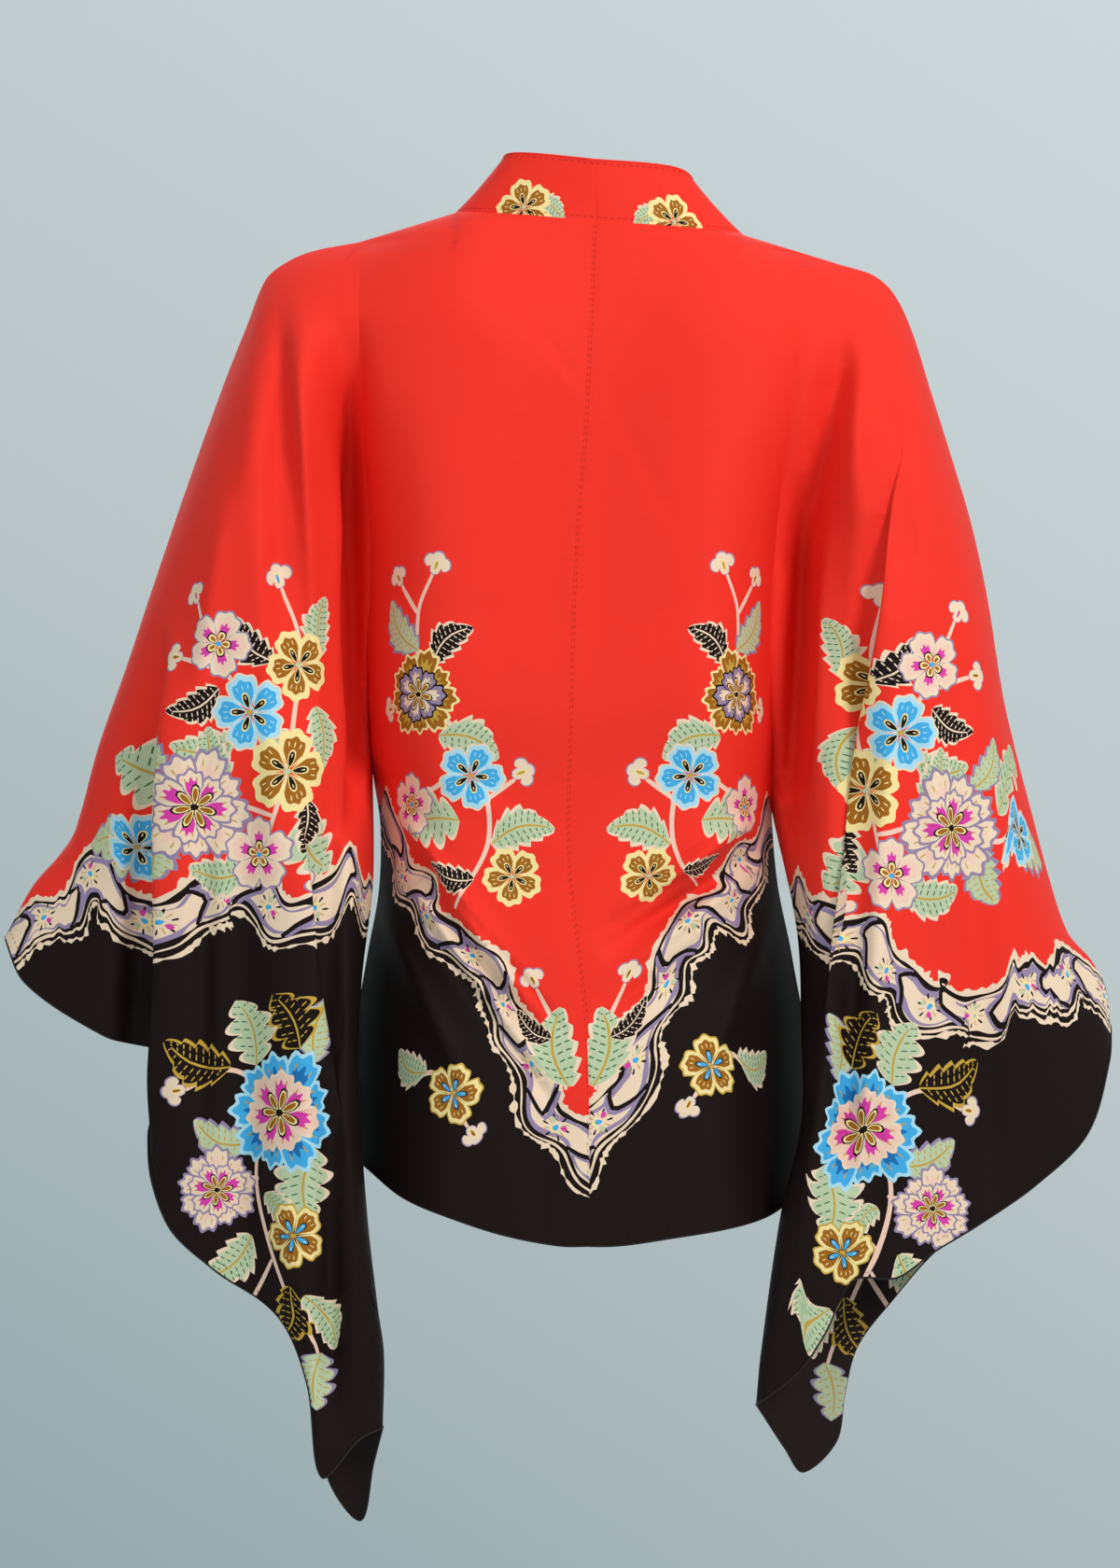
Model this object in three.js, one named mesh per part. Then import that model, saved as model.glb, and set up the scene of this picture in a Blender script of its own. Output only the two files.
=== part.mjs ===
// Kimono jacket in its worn form: silk cloth, open at the neck, the front, the hem and the cuffs.
// Millimetres, +Z up. +X is the wearer's left and +Y the back. The origin is the middle of the
// neck, level with the collar seam at the centre back.
import * as THREE from 'three';

// ---- driving dimensions ----------------------------------------------------------------------

const WALL = 2;             // cloth wall
const SEAM_GAP = 0.3;       // between two pieces that are sewn together
const MEETING = 0.05;       // points nearer than this lie on one seam
const NECK_BACK = 55;       // the collar seam lies this far behind the neck's middle
const RIDGE = 4;            // the shoulder seam and the overarm seam lie this far behind it
const FRONT_EDGE = 50;      // from the centre front to the seam of the neckband, below the V
const BLADE = 0.55;         // share of a back panel's width where the shoulder blade lies
const SIDE_FALL = 2.5;      // how late the panel turns round towards the armhole
const HIP_FALL = 1.8;       // the same towards the side seam, at the hem
const SHOULDER_DROP = 80;   // height over which the cloth turns down from the shoulder seam
const NAPE_DROP = 130;      // the same below the collar seam at the centre back
const NAPE_ROUND = 2.4;     // how squarely the collar seam rounds behind the neck
const ARM_ROUND = 0.2;      // share of a sleeve's depth that rounds over the arm
const SLEEVE_TUCK = 0.5;    // where a sleeve's fullness starts to close towards the underarm seam
const SIDE_SEAM = 3;        // the side seam at the hem lies this far behind the neck's middle
const SEAM_SWING = 200;     // it gets there over this height below the underarm point
const HIP_START = 150;      // the side is shaped as a hip from this far below that point
const FOLD_START = 55;      // folds grow over this height below the shoulder or the arm
const FOLD_END = 30;        // and fade from this far before to this far past their own ends
const UNDERARM_CALM = 0.08; // share of the armhole over which they fade at the underarm point
const FRONT_DIP = 6;        // the front hem dips this much from the side to the opening
const HEM = { middle: -690, side: -650 }; // level of the hem, where its place across is read

// Cells of each panel: across the nape, across the shoulder, down the armhole, from there to the
// hem, along the sleeve, and across the neckband.
const CELLS = { nape: 7, shoulder: 7, armhole: 18, skirt: 11, sleeve: 21, band: 3 };
const DOWN_STRETCH = 1.6;   // rows crowd towards the shoulder by this power
const ALONG_STRETCH = 1.25; // and along the sleeve towards the armhole by this one

// ---- tables: a row for each section or fold ---------------------------------------------------

// The centre back seam, seen from behind.
const CENTRE_BACK = [
  { z: 0, x: -10 }, { z: -135, x: -4 }, { z: -230, x: 3 }, { z: -357, x: 7 }, { z: -433, x: 8 },
  { z: -547, x: -4 }, { z: -700, x: -6 },
];

// How far the cloth stands behind (+) or before (-) the neck's middle, at each level.
const DEPTHS = [
  { z: 10, centre: 84, blade: 82, edge: -78, bust: -72 },
  { z: -60, centre: 89, blade: 90, edge: -97, bust: -92 },
  { z: -130, centre: 95, blade: 99, edge: -116, bust: -116 },
  { z: -200, centre: 100, blade: 104, edge: -124, bust: -130 },
  { z: -260, centre: 104, blade: 106, edge: -122, bust: -126 },
  { z: -330, centre: 108, blade: 108, edge: -111, bust: -110 },
  { z: -385, centre: 99, blade: 97, edge: -101, bust: -97 },
  { z: -440, centre: 100, blade: 99, edge: -102, bust: -98 },
  { z: -500, centre: 112, blade: 109, edge: -108, bust: -106 },
  { z: -570, centre: 121, blade: 116, edge: -114, bust: -112 },
  { z: -700, centre: 121, blade: 113, edge: -113, bust: -110 },
];

// The armhole seam from the shoulder (0) to the underarm point (1): behind and before.
const ARMHOLE_DEPTHS = [
  { share: 0, back: RIDGE, front: RIDGE }, { share: 0.03, back: 23, front: -14 },
  { share: 0.08, back: 40, front: -30 }, { share: 0.16, back: 55, front: -43 },
  { share: 0.35, back: 60, front: -52 }, { share: 0.55, back: 50, front: -50 },
  { share: 0.75, back: 43, front: -40 }, { share: 0.88, back: 34, front: -26 },
  { share: 0.96, back: 22, front: -8 }, { share: 1, back: 8, front: 8 },
];

// The front panel's seam with the neckband: a V down to the centre front, then straight.
const FRONT_OPENING = [
  { z: 10, x: 86 }, { z: -30, x: 88 }, { z: -80, x: 80 }, { z: -150, x: 66 },
  { z: -215, x: 55 }, { z: -260, x: FRONT_EDGE }, { z: -700, x: FRONT_EDGE },
];

// Where the neckband's free edge stands from its seam: in towards the neck, up, and forward. It is
// 43 mm wide all along.
const BAND_LEAN = [
  { way: 0, inward: 0, up: 42, forward: 6 }, { way: 0.07, inward: 9, up: 42, forward: 11 },
  { way: 0.12, inward: 28, up: 38, forward: 8 }, { way: 0.15, inward: 37, up: 33, forward: 5 },
  { way: 0.2, inward: 41, up: 24, forward: 9 }, { way: 0.3, inward: 43, up: 12, forward: 11 },
  { way: 0.42, inward: 43, up: 4, forward: 7 }, { way: 0.5, inward: 43, up: 0, forward: 3 },
  { way: 1, inward: 43, up: 0, forward: 2 },
];

// Folds in the back cloth of each side. Each runs from (x0, z0) to (x1, z1), seen from behind, with
// x away from the centre; height is how far its crest stands back, or its trough forward.
const LEFT_FOLDS = [
  { x0: 160, z0: -95, x1: 157, z1: -390, height: -26, width: 13 },
  { x0: 196, z0: -50, x1: 175, z1: -250, height: 10, width: 14 },
  { x0: 202, z0: -60, x1: 204, z1: -260, height: -8, width: 9 },
  { x0: 222, z0: -70, x1: 226, z1: -160, height: 7, width: 10 },
  { x0: 170, z0: -400, x1: 168, z1: -800, height: -16, width: 10 },
  { x0: 290, z0: -300, x1: 303, z1: -560, height: -16, width: 11 },
  { x0: 270, z0: -300, x1: 276, z1: -640, height: 9, width: 14 },
  { x0: 228, z0: -380, x1: 222, z1: -760, height: -9, width: 16 },
  { x0: 140, z0: -380, x1: 70, z1: -500, height: 9, width: 13 },
  { x0: 128, z0: -410, x1: 60, z1: -530, height: -8, width: 11 },
];
const RIGHT_FOLDS = [
  { x0: 178, z0: -85, x1: 150, z1: -215, height: -18, width: 14 },
  { x0: 151, z0: -200, x1: 142, z1: -410, height: -26, width: 13 },
  { x0: 196, z0: -230, x1: 178, z1: -640, height: -15, width: 10 },
  { x0: 180, z0: -120, x1: 196, z1: -300, height: 10, width: 13 },
  { x0: 212, z0: -240, x1: 190, z1: -620, height: 9, width: 13 },
  { x0: 238, z0: -120, x1: 262, z1: -420, height: -7, width: 15 },
  { x0: 262, z0: -420, x1: 275, z1: -640, height: -9, width: 15 },
  { x0: 132, z0: -400, x1: 62, z1: -450, height: 9, width: 13 },
  { x0: 124, z0: -425, x1: 52, z1: -472, height: -8, width: 11 },
];

// Each side's outline. Points that run along a seam or an edge are [x, z], x away from the centre.
const SIDES = {
  left: {
    sign: 1,
    neck: { x: 85, z: 9 },
    folds: { back: LEFT_FOLDS, front: [] },
    seams: [
      { z: 0, x: 151 }, { z: -60, x: 150 }, { z: -130, x: 148 }, { z: -225, x: 143 },
      { z: -300, x: 145 }, { z: -345, x: 144 }, { z: -375, x: 142 }, { z: -410, x: 137 },
      { z: -455, x: 138 }, { z: -500, x: 146 }, { z: -560, x: 155 }, { z: -700, x: 159 },
    ],
    hem: [
      { x: -10, z: -692 }, { x: 14, z: -692 }, { x: 52, z: -685 }, { x: 90, z: -673 },
      { x: 121, z: -661 }, { x: 144, z: -645 }, { x: 163, z: -632 },
    ],
    overarm: [
      [150, -11], [185, -18], [204, -27], [215, -37], [228, -69], [242, -104], [267, -173],
      [292, -246], [311, -303], [330, -357], [346, -414], [356, -430], [375, -452], [394, -487],
    ],
    underarm: [
      [142, -375], [141, -449], [148, -515], [150, -578], [144, -673], [137, -737], [133, -768],
      [134, -818],
    ],
    cuff: {
      back: [
        [394, -487], [378, -518], [324, -553], [290, -566], [294, -598], [296, -623],
        [280, -680], [248, -711], [204, -743], [185, -787], [175, -851], [150, -826],
        [134, -818],
      ],
      front: [
        [394, -487], [374, -520], [322, -550], [291, -570], [292, -600], [290, -640],
        [272, -685], [240, -711], [200, -745], [184, -790], [172, -858], [150, -885],
        [141, -845], [134, -818],
      ],
    },
  },
  right: {
    sign: -1,
    neck: { x: 111, z: -6 },
    folds: { back: RIGHT_FOLDS, front: [] },
    seams: [
      { z: 0, x: 151 }, { z: -60, x: 148 }, { z: -130, x: 142 }, { z: -225, x: 132 },
      { z: -300, x: 129 }, { z: -360, x: 131 }, { z: -401, x: 131 }, { z: -450, x: 135 },
      { z: -500, x: 145 }, { z: -560, x: 154 }, { z: -700, x: 158 },
    ],
    hem: [
      { x: -8, z: -692 }, { x: 24, z: -692 }, { x: 62, z: -687 }, { x: 100, z: -681 },
      { x: 125, z: -675 }, { x: 141, z: -667 }, { x: 163, z: -654 },
    ],
    overarm: [
      [150, -18], [176, -26], [201, -34], [215, -47], [227, -72], [239, -110], [255, -161],
      [268, -205], [279, -256], [289, -319], [299, -363], [309, -401], [321, -446],
      [334, -484], [350, -503], [360, -522], [363, -547],
    ],
    underarm: [
      [131, -401], [147, -483], [149, -545], [149, -610], [135, -673], [122, -768],
      [119, -803],
    ],
    cuff: {
      back: [
        [363, -547], [360, -572], [344, -620], [309, -654], [271, -680], [239, -699],
        [214, -716], [184, -718], [165, -754], [148, -779], [119, -803],
      ],
      front: [
        [363, -547], [358, -574], [342, -622], [309, -656], [247, -701], [214, -737],
        [190, -768], [181, -800], [175, -832], [152, -852], [140, -836], [119, -803],
      ],
    },
  },
};

// The underarm seam swings behind the hip on its way down.
const UNDERARM_DEPTHS = [
  { way: 0, y: 8 }, { way: 0.17, y: 46 }, { way: 0.32, y: 70 }, { way: 0.5, y: 82 },
  { way: 0.66, y: 84 }, { way: 0.8, y: 76 }, { way: 1, y: 60 },
];

// Fullness of a sleeve along its length: the back half stands back by this, the front half
// stands forward, over a straight line from the overarm seam to the underarm seam.
const SLEEVE_FULLNESS = [
  { way: 0, back: 0, front: 0 }, { way: 0.1, back: 16, front: -14 }, { way: 0.3, back: 40, front: -42 },
  { way: 0.5, back: 48, front: -58 }, { way: 0.75, back: 46, front: -58 }, { way: 1, back: 38, front: -46 },
];

const CLOTH = { red: 0xd8321f, black: 0x241c1c };

// ---- curves and blends ------------------------------------------------------------------------

const mix = (a, b, t) => a + (b - a) * t;
const clamp01 = (t) => Math.min(1, Math.max(0, t));
const quarterRound = (t) => Math.sqrt(1 - (1 - clamp01(t)) ** 2);

/** A smooth curve through one named column of a table, read at a value of its key column. */
function curve(table, key, name) {
  const rows = [...table].sort((a, b) => a[key] - b[key]);
  const slope = (i) => {
    const a = rows[Math.max(0, i - 1)];
    const b = rows[Math.min(rows.length - 1, i + 1)];
    return (b[name] - a[name]) / (b[key] - a[key]);
  };
  return (at) => {
    let i = 0;
    while (i < rows.length - 2 && rows[i + 1][key] < at) i += 1;
    const a = rows[i];
    const b = rows[i + 1];
    const span = b[key] - a[key];
    const t = clamp01((at - a[key]) / span);
    const h = t * t * (3 - 2 * t);
    return a[name] + (b[name] - a[name]) * h
      + span * slope(i) * t * (1 - t) ** 2 - span * slope(i + 1) * t * t * (1 - t);
  };
}

/** A smooth line through [x, z] points, read at a share of its length. */
function line(points) {
  let length = 0;
  const rows = points.map(([x, z], i) => {
    if (i > 0) length += Math.hypot(x - points[i - 1][0], z - points[i - 1][1]);
    return { way: length, x, z };
  });
  const xs = curve(rows, 'way', 'x');
  const zs = curve(rows, 'way', 'z');
  return (share) => ({ x: xs(share * length), z: zs(share * length) });
}

/** How far the folds push the back cloth at a point seen from behind. */
function foldDepth(folds, x, z) {
  let depth = 0;
  for (const { x0, z0, x1, z1, height, width } of folds) {
    const dx = x1 - x0;
    const dz = z1 - z0;
    const length = Math.hypot(dx, dz);
    const along = ((x - x0) * dx + (z - z0) * dz) / length;
    const across = ((x - x0) * dz - (z - z0) * dx) / length;
    const fade = clamp01((along + FOLD_END) / (2 * FOLD_END))
      * clamp01((length - along + FOLD_END) / (2 * FOLD_END));
    depth += height * Math.exp(-((across / width) ** 2)) * fade;
  }
  return depth;
}

const centreX = curve(CENTRE_BACK, 'z', 'x');
const depthOf = Object.fromEntries(
  ['centre', 'blade', 'edge', 'bust'].map((name) => [name, curve(DEPTHS, 'z', name)]),
);
const openingX = curve(FRONT_OPENING, 'z', 'x');
const bandLean = Object.fromEntries(
  ['inward', 'up', 'forward'].map((name) => [name, curve(BAND_LEAN, 'way', name)]),
);
const spread = (cells) => Array.from({ length: cells + 1 }, (_, i) => i / cells);
const downArmhole = spread(CELLS.armhole).map((t) => (
  mix(t ** DOWN_STRETCH, (1 - Math.cos(Math.PI * t)) / 2, 0.5)));
const alongSleeve = spread(CELLS.sleeve).map((t) => t ** ALONG_STRETCH);

// ---- the surfaces of one side -----------------------------------------------------------------

function makeSide(side) {
  const { sign, neck } = side;
  const sideX = curve(side.seams, 'z', 'x');
  const hemZ = curve(side.hem, 'x', 'z');
  const over = line(side.overarm);
  const under = line(side.underarm);
  const top = over(0);
  const underPoint = under(0);
  const armhole = top.z - underPoint.z;
  const armholeY = {
    back: curve(ARMHOLE_DEPTHS, 'share', 'back'),
    front: curve(ARMHOLE_DEPTHS, 'share', 'front'),
  };
  const centre = (z) => sign * centreX(z);
  const neckShare = (neck.x - centre(0)) / (top.x - centre(0));
  const underY = curve(UNDERARM_DEPTHS, 'way', 'y');

  /** The armhole seam, and the side seam below the underarm point. */
  function seamPoint(face, z) {
    const share = Math.max(0, (top.z - z) / armhole);
    const sideSeam = mix(underY(0), SIDE_SEAM, clamp01((underPoint.z - z) / SEAM_SWING));
    return { x: sideX(z), y: share < 1 ? armholeY[face](share) : sideSeam, z };
  }

  /** How far folds push the cloth at a point; below is its way down from the shoulder or arm. */
  function push(face, x, z, below, inside) {
    return foldDepth(side.folds[face], x, z) * clamp01(below / FOLD_START) * inside;
  }

  /** Levels of the rows of a column with the given top and hem. */
  function levels(zTop, zHem) {
    const upper = downArmhole.map((t) => mix(zTop, underPoint.z, t));
    const lower = spread(CELLS.skirt).slice(1).map((t) => mix(underPoint.z, zHem, t));
    return [...upper, ...lower];
  }

  /** Folds fade out at the side seam and at the underarm point, where four pieces meet. */
  function atSeam(share, z) {
    const near = clamp01((1 - (top.z - z) / armhole) / UNDERARM_CALM);
    return mix(1, near, share ** 8);
  }

  /** Back panel: columns from the centre back out to the side, rows from the top to the hem. */
  function backPanel() {
    const nape = spread(CELLS.nape).map((t) => neckShare * Math.sin(t * Math.PI / 2));
    const shoulder = spread(CELLS.shoulder).slice(1).map((t) => mix(neckShare, 1, t));
    return [...nape, ...shoulder].map((share) => {
      const onNape = clamp01(share / neckShare);
      const onShoulder = clamp01((share - neckShare) / (1 - neckShare));
      const zTop = onNape < 1 ? neck.z * onNape : mix(neck.z, top.z, onShoulder);
      const yTop = RIDGE + (NECK_BACK - RIDGE) * Math.sqrt(Math.max(0, 1 - onNape ** NAPE_ROUND));
      const drop = mix(NAPE_DROP, SHOULDER_DROP, onNape);
      const xHem = mix(centre(HEM.middle), sideX(HEM.side), share);
      return levels(zTop, hemZ(xHem)).map((z) => {
        const x = mix(centre(z), sideX(z), share);
        const hang = clamp01((zTop - z) / drop);
        const turn = mix(Math.sin(hang * Math.PI / 2), quarterRound(hang), onNape);
        const blade = Math.sin(clamp01(share / BLADE) * Math.PI / 2) ** 2;
        const inner = mix(yTop, mix(depthOf.centre(z), depthOf.blade(z), blade), turn);
        const fall = mix(SIDE_FALL, HIP_FALL, clamp01((underPoint.z - z) / HIP_START));
        const round = clamp01((share - BLADE) / (1 - BLADE)) ** fall;
        const y = mix(inner, seamPoint('back', z).y, round);
        return new THREE.Vector3(sign * x, y + push('back', x, z, zTop - z, atSeam(share, z)), z);
      });
    });
  }

  /** Front panel: columns from the neckband's seam out to the side. */
  function frontPanel() {
    return spread(CELLS.shoulder).map((share) => {
      const zTop = mix(neck.z, top.z, share);
      const straight = (z) => mix(openingX(z), sideX(z), share);
      const onSeam = mix(mix(centre(zTop), sideX(zTop), neckShare), sideX(zTop), share);
      return levels(zTop, hemZ(sideX(HEM.side)) - FRONT_DIP * (1 - share)).map((z) => {
        const near = 1 - clamp01((zTop - z) / SHOULDER_DROP);
        const x = straight(z) + near * (onSeam - straight(zTop));
        const full = mix(depthOf.edge(z), depthOf.bust(z), Math.sin(share * Math.PI) ** 2);
        const inner = mix(RIDGE, full, quarterRound((zTop - z) / SHOULDER_DROP));
        const y = mix(inner, seamPoint('front', z).y, share ** SIDE_FALL);
        return new THREE.Vector3(sign * x, y + push('front', x, z, zTop - z, atSeam(share, z)), z);
      });
    });
  }

  /** Half a sleeve: rows along the arm, columns from the overarm seam to the underarm seam. */
  function sleevePanel(face) {
    const cuff = line(side.cuff[face]);
    const fullness = curve(SLEEVE_FULLNESS, 'way', face);
    const corner = {
      top: { ...top, y: RIDGE },
      cuffTop: { ...over(1), y: RIDGE },
      under: { ...underPoint, y: underY(0) },
      cuffUnder: { ...under(1), y: underY(1) },
    };
    return alongSleeve.map((p) => downArmhole.map((q) => {
      const arm = seamPoint(face, mix(top.z, underPoint.z, q));
      const end = { ...cuff(q), y: mix(RIDGE, underY(1), q) };
      const outer = { ...over(p), y: RIDGE };
      const inner = { ...under(p), y: underY(p) };
      const at = (k) => mix(outer[k], inner[k], q) + mix(arm[k], end[k], p)
        - mix(mix(corner.top[k], corner.under[k], q), mix(corner.cuffTop[k], corner.cuffUnder[k], q), p);
      const closing = clamp01((q - SLEEVE_TUCK) / (1 - SLEEVE_TUCK));
      const body = quarterRound(q / ARM_ROUND) * Math.sqrt(1 - closing ** 2);
      const x = at('x');
      const z = at('z');
      const calm = clamp01((1 - q) / UNDERARM_CALM);
      const y = at('y') + fullness(p) * body + push(face, x, z, q * armhole, calm);
      return new THREE.Vector3(sign * x, y, z);
    }));
  }

  /** Neckband: rows along its seam from the centre back to the front hem, columns across it. */
  function neckband(seam) {
    let way = 0;
    const ways = seam.map((point, i) => {
      way += i > 0 ? point.distanceTo(seam[i - 1]) : 0;
      return way;
    });
    return seam.map((point, i) => {
      const share = ways[i] / way;
      const lean = new THREE.Vector3(
        -sign * bandLean.inward(share), -bandLean.forward(share), bandLean.up(share),
      );
      return spread(CELLS.band).map((t) => point.clone().addScaledVector(lean, t));
    });
  }

  return { backPanel, frontPanel, sleevePanel, neckband };
}

// ---- walls ------------------------------------------------------------------------------------

/** A sheet of points with its outward normals. facing is +1 where the given cell faces the back. */
function makeSheet(name, points, facing, [r, c], colour) {
  const rows = points.length;
  const cols = points[0].length;
  const step = (a, b) => new THREE.Vector3().subVectors(a, b);
  const alongRow = step(points[r + 1][c], points[r][c]);
  const alongCol = step(points[r][c + 1], points[r][c]);
  const side = Math.sign(alongRow.cross(alongCol).y) === facing ? 1 : -1;
  const normals = points.map((row, i) => row.map((_, j) => {
    const dr = step(points[Math.min(i + 1, rows - 1)][j], points[Math.max(i - 1, 0)][j]);
    const dc = step(points[i][Math.min(j + 1, cols - 1)], points[i][Math.max(j - 1, 0)]);
    return dr.cross(dc).normalize().multiplyScalar(side);
  }));
  const own = normals.map((row) => row.map((normal) => normal.clone()));
  return { name, points, normals, own, side, colour, rows, cols };
}

function rimOf({ rows, cols }) {
  const rim = [];
  for (let i = 0; i < rows - 1; i += 1) rim.push([i, 0]);
  for (let j = 0; j < cols - 1; j += 1) rim.push([rows - 1, j]);
  for (let i = rows - 1; i > 0; i -= 1) rim.push([i, cols - 1]);
  for (let j = cols - 1; j > 0; j -= 1) rim.push([0, j]);
  return rim;
}

/** Sheets that meet share one normal there, so their walls stand edge to edge. */
function shareNormals(sheets) {
  const rim = sheets.flatMap((sheet) => rimOf(sheet).map(([i, j]) => ({
    point: sheet.points[i][j], normal: sheet.normals[i][j].clone(), target: sheet.normals[i][j],
  })));
  for (const here of rim) {
    const sum = new THREE.Vector3();
    for (const other of rim) {
      if (other.point.distanceTo(here.point) < MEETING) sum.add(other.normal);
    }
    here.target.copy(sum.normalize());
  }
}

/** Draws a sheet's rim in by half a seam gap, square to its edge. */
function drawIn(sheet) {
  const rim = rimOf(sheet);
  const { points, own, side } = sheet;
  const at = ([i, j]) => points[i][j];
  const shifts = rim.map((here, k) => {
    const before = at(rim[(k + rim.length - 1) % rim.length]);
    const after = at(rim[(k + 1) % rim.length]);
    const normal = own[here[0]][here[1]];
    const inward = (a, b) => new THREE.Vector3().subVectors(b, a).cross(normal)
      .multiplyScalar(-side).normalize();
    const one = inward(before, at(here));
    const two = inward(at(here), after);
    return one.clone().add(two).multiplyScalar((SEAM_GAP / 2) / (1 + Math.max(-0.5, one.dot(two))));
  });
  rim.forEach(([i, j], k) => points[i][j].add(shifts[k]));
}

/** The wall of a sheet: its outer face, its inner face and the rim between them. */
function makeWall(sheet) {
  const { points, normals, side, rows, cols } = sheet;
  const outer = points.flat();
  const inner = points.flatMap((row, i) => row.map((p, j) => (
    p.clone().addScaledVector(normals[i][j], -WALL))));
  const positions = [...outer, ...inner].flatMap((p) => [p.x, p.y, p.z]);
  const index = [];
  const n = rows * cols;
  const quad = (a, b, c, d) => {
    if (side > 0) index.push(a, b, c, a, c, d);
    else index.push(a, c, b, a, d, c);
  };
  for (let i = 0; i < rows - 1; i += 1) {
    for (let j = 0; j < cols - 1; j += 1) {
      const k = i * cols + j;
      quad(k, k + cols, k + cols + 1, k + 1);
      quad(n + k, n + k + 1, n + k + cols + 1, n + k + cols);
    }
  }
  const rim = rimOf(sheet).map(([i, j]) => i * cols + j);
  // Both pieces at a seam split the rim along the same diagonal, down from the higher corner.
  rim.forEach((a, k) => {
    const b = rim[(k + 1) % rim.length];
    if (outer[a].z > outer[b].z) quad(a, n + a, n + b, b);
    else quad(b, a, n + a, n + b);
  });
  const geometry = new THREE.BufferGeometry();
  geometry.setAttribute('position', new THREE.Float32BufferAttribute(positions, 3));
  geometry.setIndex(index);
  geometry.computeVertexNormals();
  return geometry;
}

// ---- the jacket -------------------------------------------------------------------------------

// The cell that tells which way each sheet faces: mid panel, mid sleeve, and at the nape.
const MID_PANEL = [3, 12];
const MID_SLEEVE = [10, 10];
const NAPE_END = [0, 0];

const sheets = Object.entries(SIDES).flatMap(([name, side]) => {
  const make = makeSide(side);
  const back = make.backPanel();
  const front = make.frontPanel();
  const seam = [...back.slice(0, CELLS.nape + 1).map((column) => column[0]), ...front[0].slice(1)];
  return [
    makeSheet(`back_${name}`, back, 1, MID_PANEL, CLOTH.red),
    makeSheet(`front_${name}`, front, -1, MID_PANEL, CLOTH.red),
    makeSheet(`sleeve_${name}_back`, make.sleevePanel('back'), 1, MID_SLEEVE, CLOTH.black),
    makeSheet(`sleeve_${name}_front`, make.sleevePanel('front'), -1, MID_SLEEVE, CLOTH.black),
    makeSheet(`neckband_${name}`, make.neckband(seam), 1, NAPE_END, CLOTH.red),
  ];
});

shareNormals(sheets);
sheets.forEach(drawIn);

const jacket = new THREE.Group();
for (const sheet of sheets) {
  const material = new THREE.MeshStandardMaterial({
    color: sheet.colour, roughness: 0.5, metalness: 0, side: THREE.DoubleSide,
  });
  const mesh = new THREE.Mesh(makeWall(sheet), material);
  mesh.name = sheet.name;
  jacket.add(mesh);
}

export default jacket;
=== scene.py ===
"""Kimono jacket of printed silk in its worn form, seen from behind. Sizes inside are in
millimetres, +Z up, +X to the wearer's left and +Y to the back; the meshes are in metres."""

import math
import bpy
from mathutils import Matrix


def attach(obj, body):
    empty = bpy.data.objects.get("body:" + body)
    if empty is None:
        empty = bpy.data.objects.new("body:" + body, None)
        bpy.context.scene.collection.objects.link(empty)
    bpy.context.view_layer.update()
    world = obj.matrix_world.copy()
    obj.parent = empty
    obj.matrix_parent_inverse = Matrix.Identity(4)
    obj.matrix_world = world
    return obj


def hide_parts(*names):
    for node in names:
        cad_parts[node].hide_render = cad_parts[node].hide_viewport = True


bl_info = {
    "name": "Kimono jacket",
    "version": (1, 0, 0),
    "blender": (4, 5, 0),
    "location": "View3D > Sidebar > Kimono",
    "description": "Builds a printed silk kimono jacket over its plain solids",
    "category": "Object",
}

from functools import partial

import bpy
import numpy as np
from bpy.props import FloatProperty, FloatVectorProperty, PointerProperty
from mathutils import Vector
from mathutils.bvhtree import BVHTree
from mathutils.geometry import delaunay_2d_cdt
from mathutils.kdtree import KDTree

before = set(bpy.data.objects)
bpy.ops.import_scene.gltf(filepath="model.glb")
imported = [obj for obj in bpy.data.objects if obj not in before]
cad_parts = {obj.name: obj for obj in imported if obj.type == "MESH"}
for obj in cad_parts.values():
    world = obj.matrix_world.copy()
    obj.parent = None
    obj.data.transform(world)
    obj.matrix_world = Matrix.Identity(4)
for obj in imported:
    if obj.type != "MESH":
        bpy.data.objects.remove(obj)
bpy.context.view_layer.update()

MM = 0.001
TINY = 1e-9
DOWN = Vector((0, 0, -1))

# ---- sizes of the jacket, in millimetres -------------------------------------------------------

NECK_BACK = 55  # the collar seam lies this far behind the neck's middle
RIDGE = 4  # the shoulder and overarm seams lie this far behind it
BLADE = 0.55  # share of a back panel's width where the shoulder blade lies
SIDE_FALL, HIP_FALL = 2.5, 1.8  # how late the panel turns to the armhole, and to the side seam
SHOULDER_DROP, NAPE_DROP = 80, 130  # how far down a panel turns from its top edge
NAPE_ROUND = 2.4
ARM_ROUND = 0.2  # share of a sleeve's depth that rounds over the arm
SLEEVE_TUCK = 0.5  # where its fullness starts to close towards the underarm seam
SIDE_SEAM, SEAM_SWING = 3, 200  # how far back the side seam ends, and over what drop
HIP_START = 150  # the fall changes to the hips' over this drop
FOLD_START, FOLD_END = 55, 30  # folds fade in from a seam, and out past their ends
UNDERARM_CALM = 0.08  # share of an armhole where they fade at the underarm
FRONT_DIP = 6  # the front hem hangs lower at the opening
HEM_MIDDLE, HEM_SIDE = -690, -650
FLAT_LEVEL, SLEEVE_LEVEL, SLEEVE_ANCHOR = -300, -330, 230.0  # where flat and hanging cloth agree
BAND = 43  # width of the neckband
FRONT_EDGE = 50


def table(names, *rows):
    """A dictionary of named columns."""
    return {name: np.array([row[i] for row in rows], float) for i, name in enumerate(names.split())}


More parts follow.
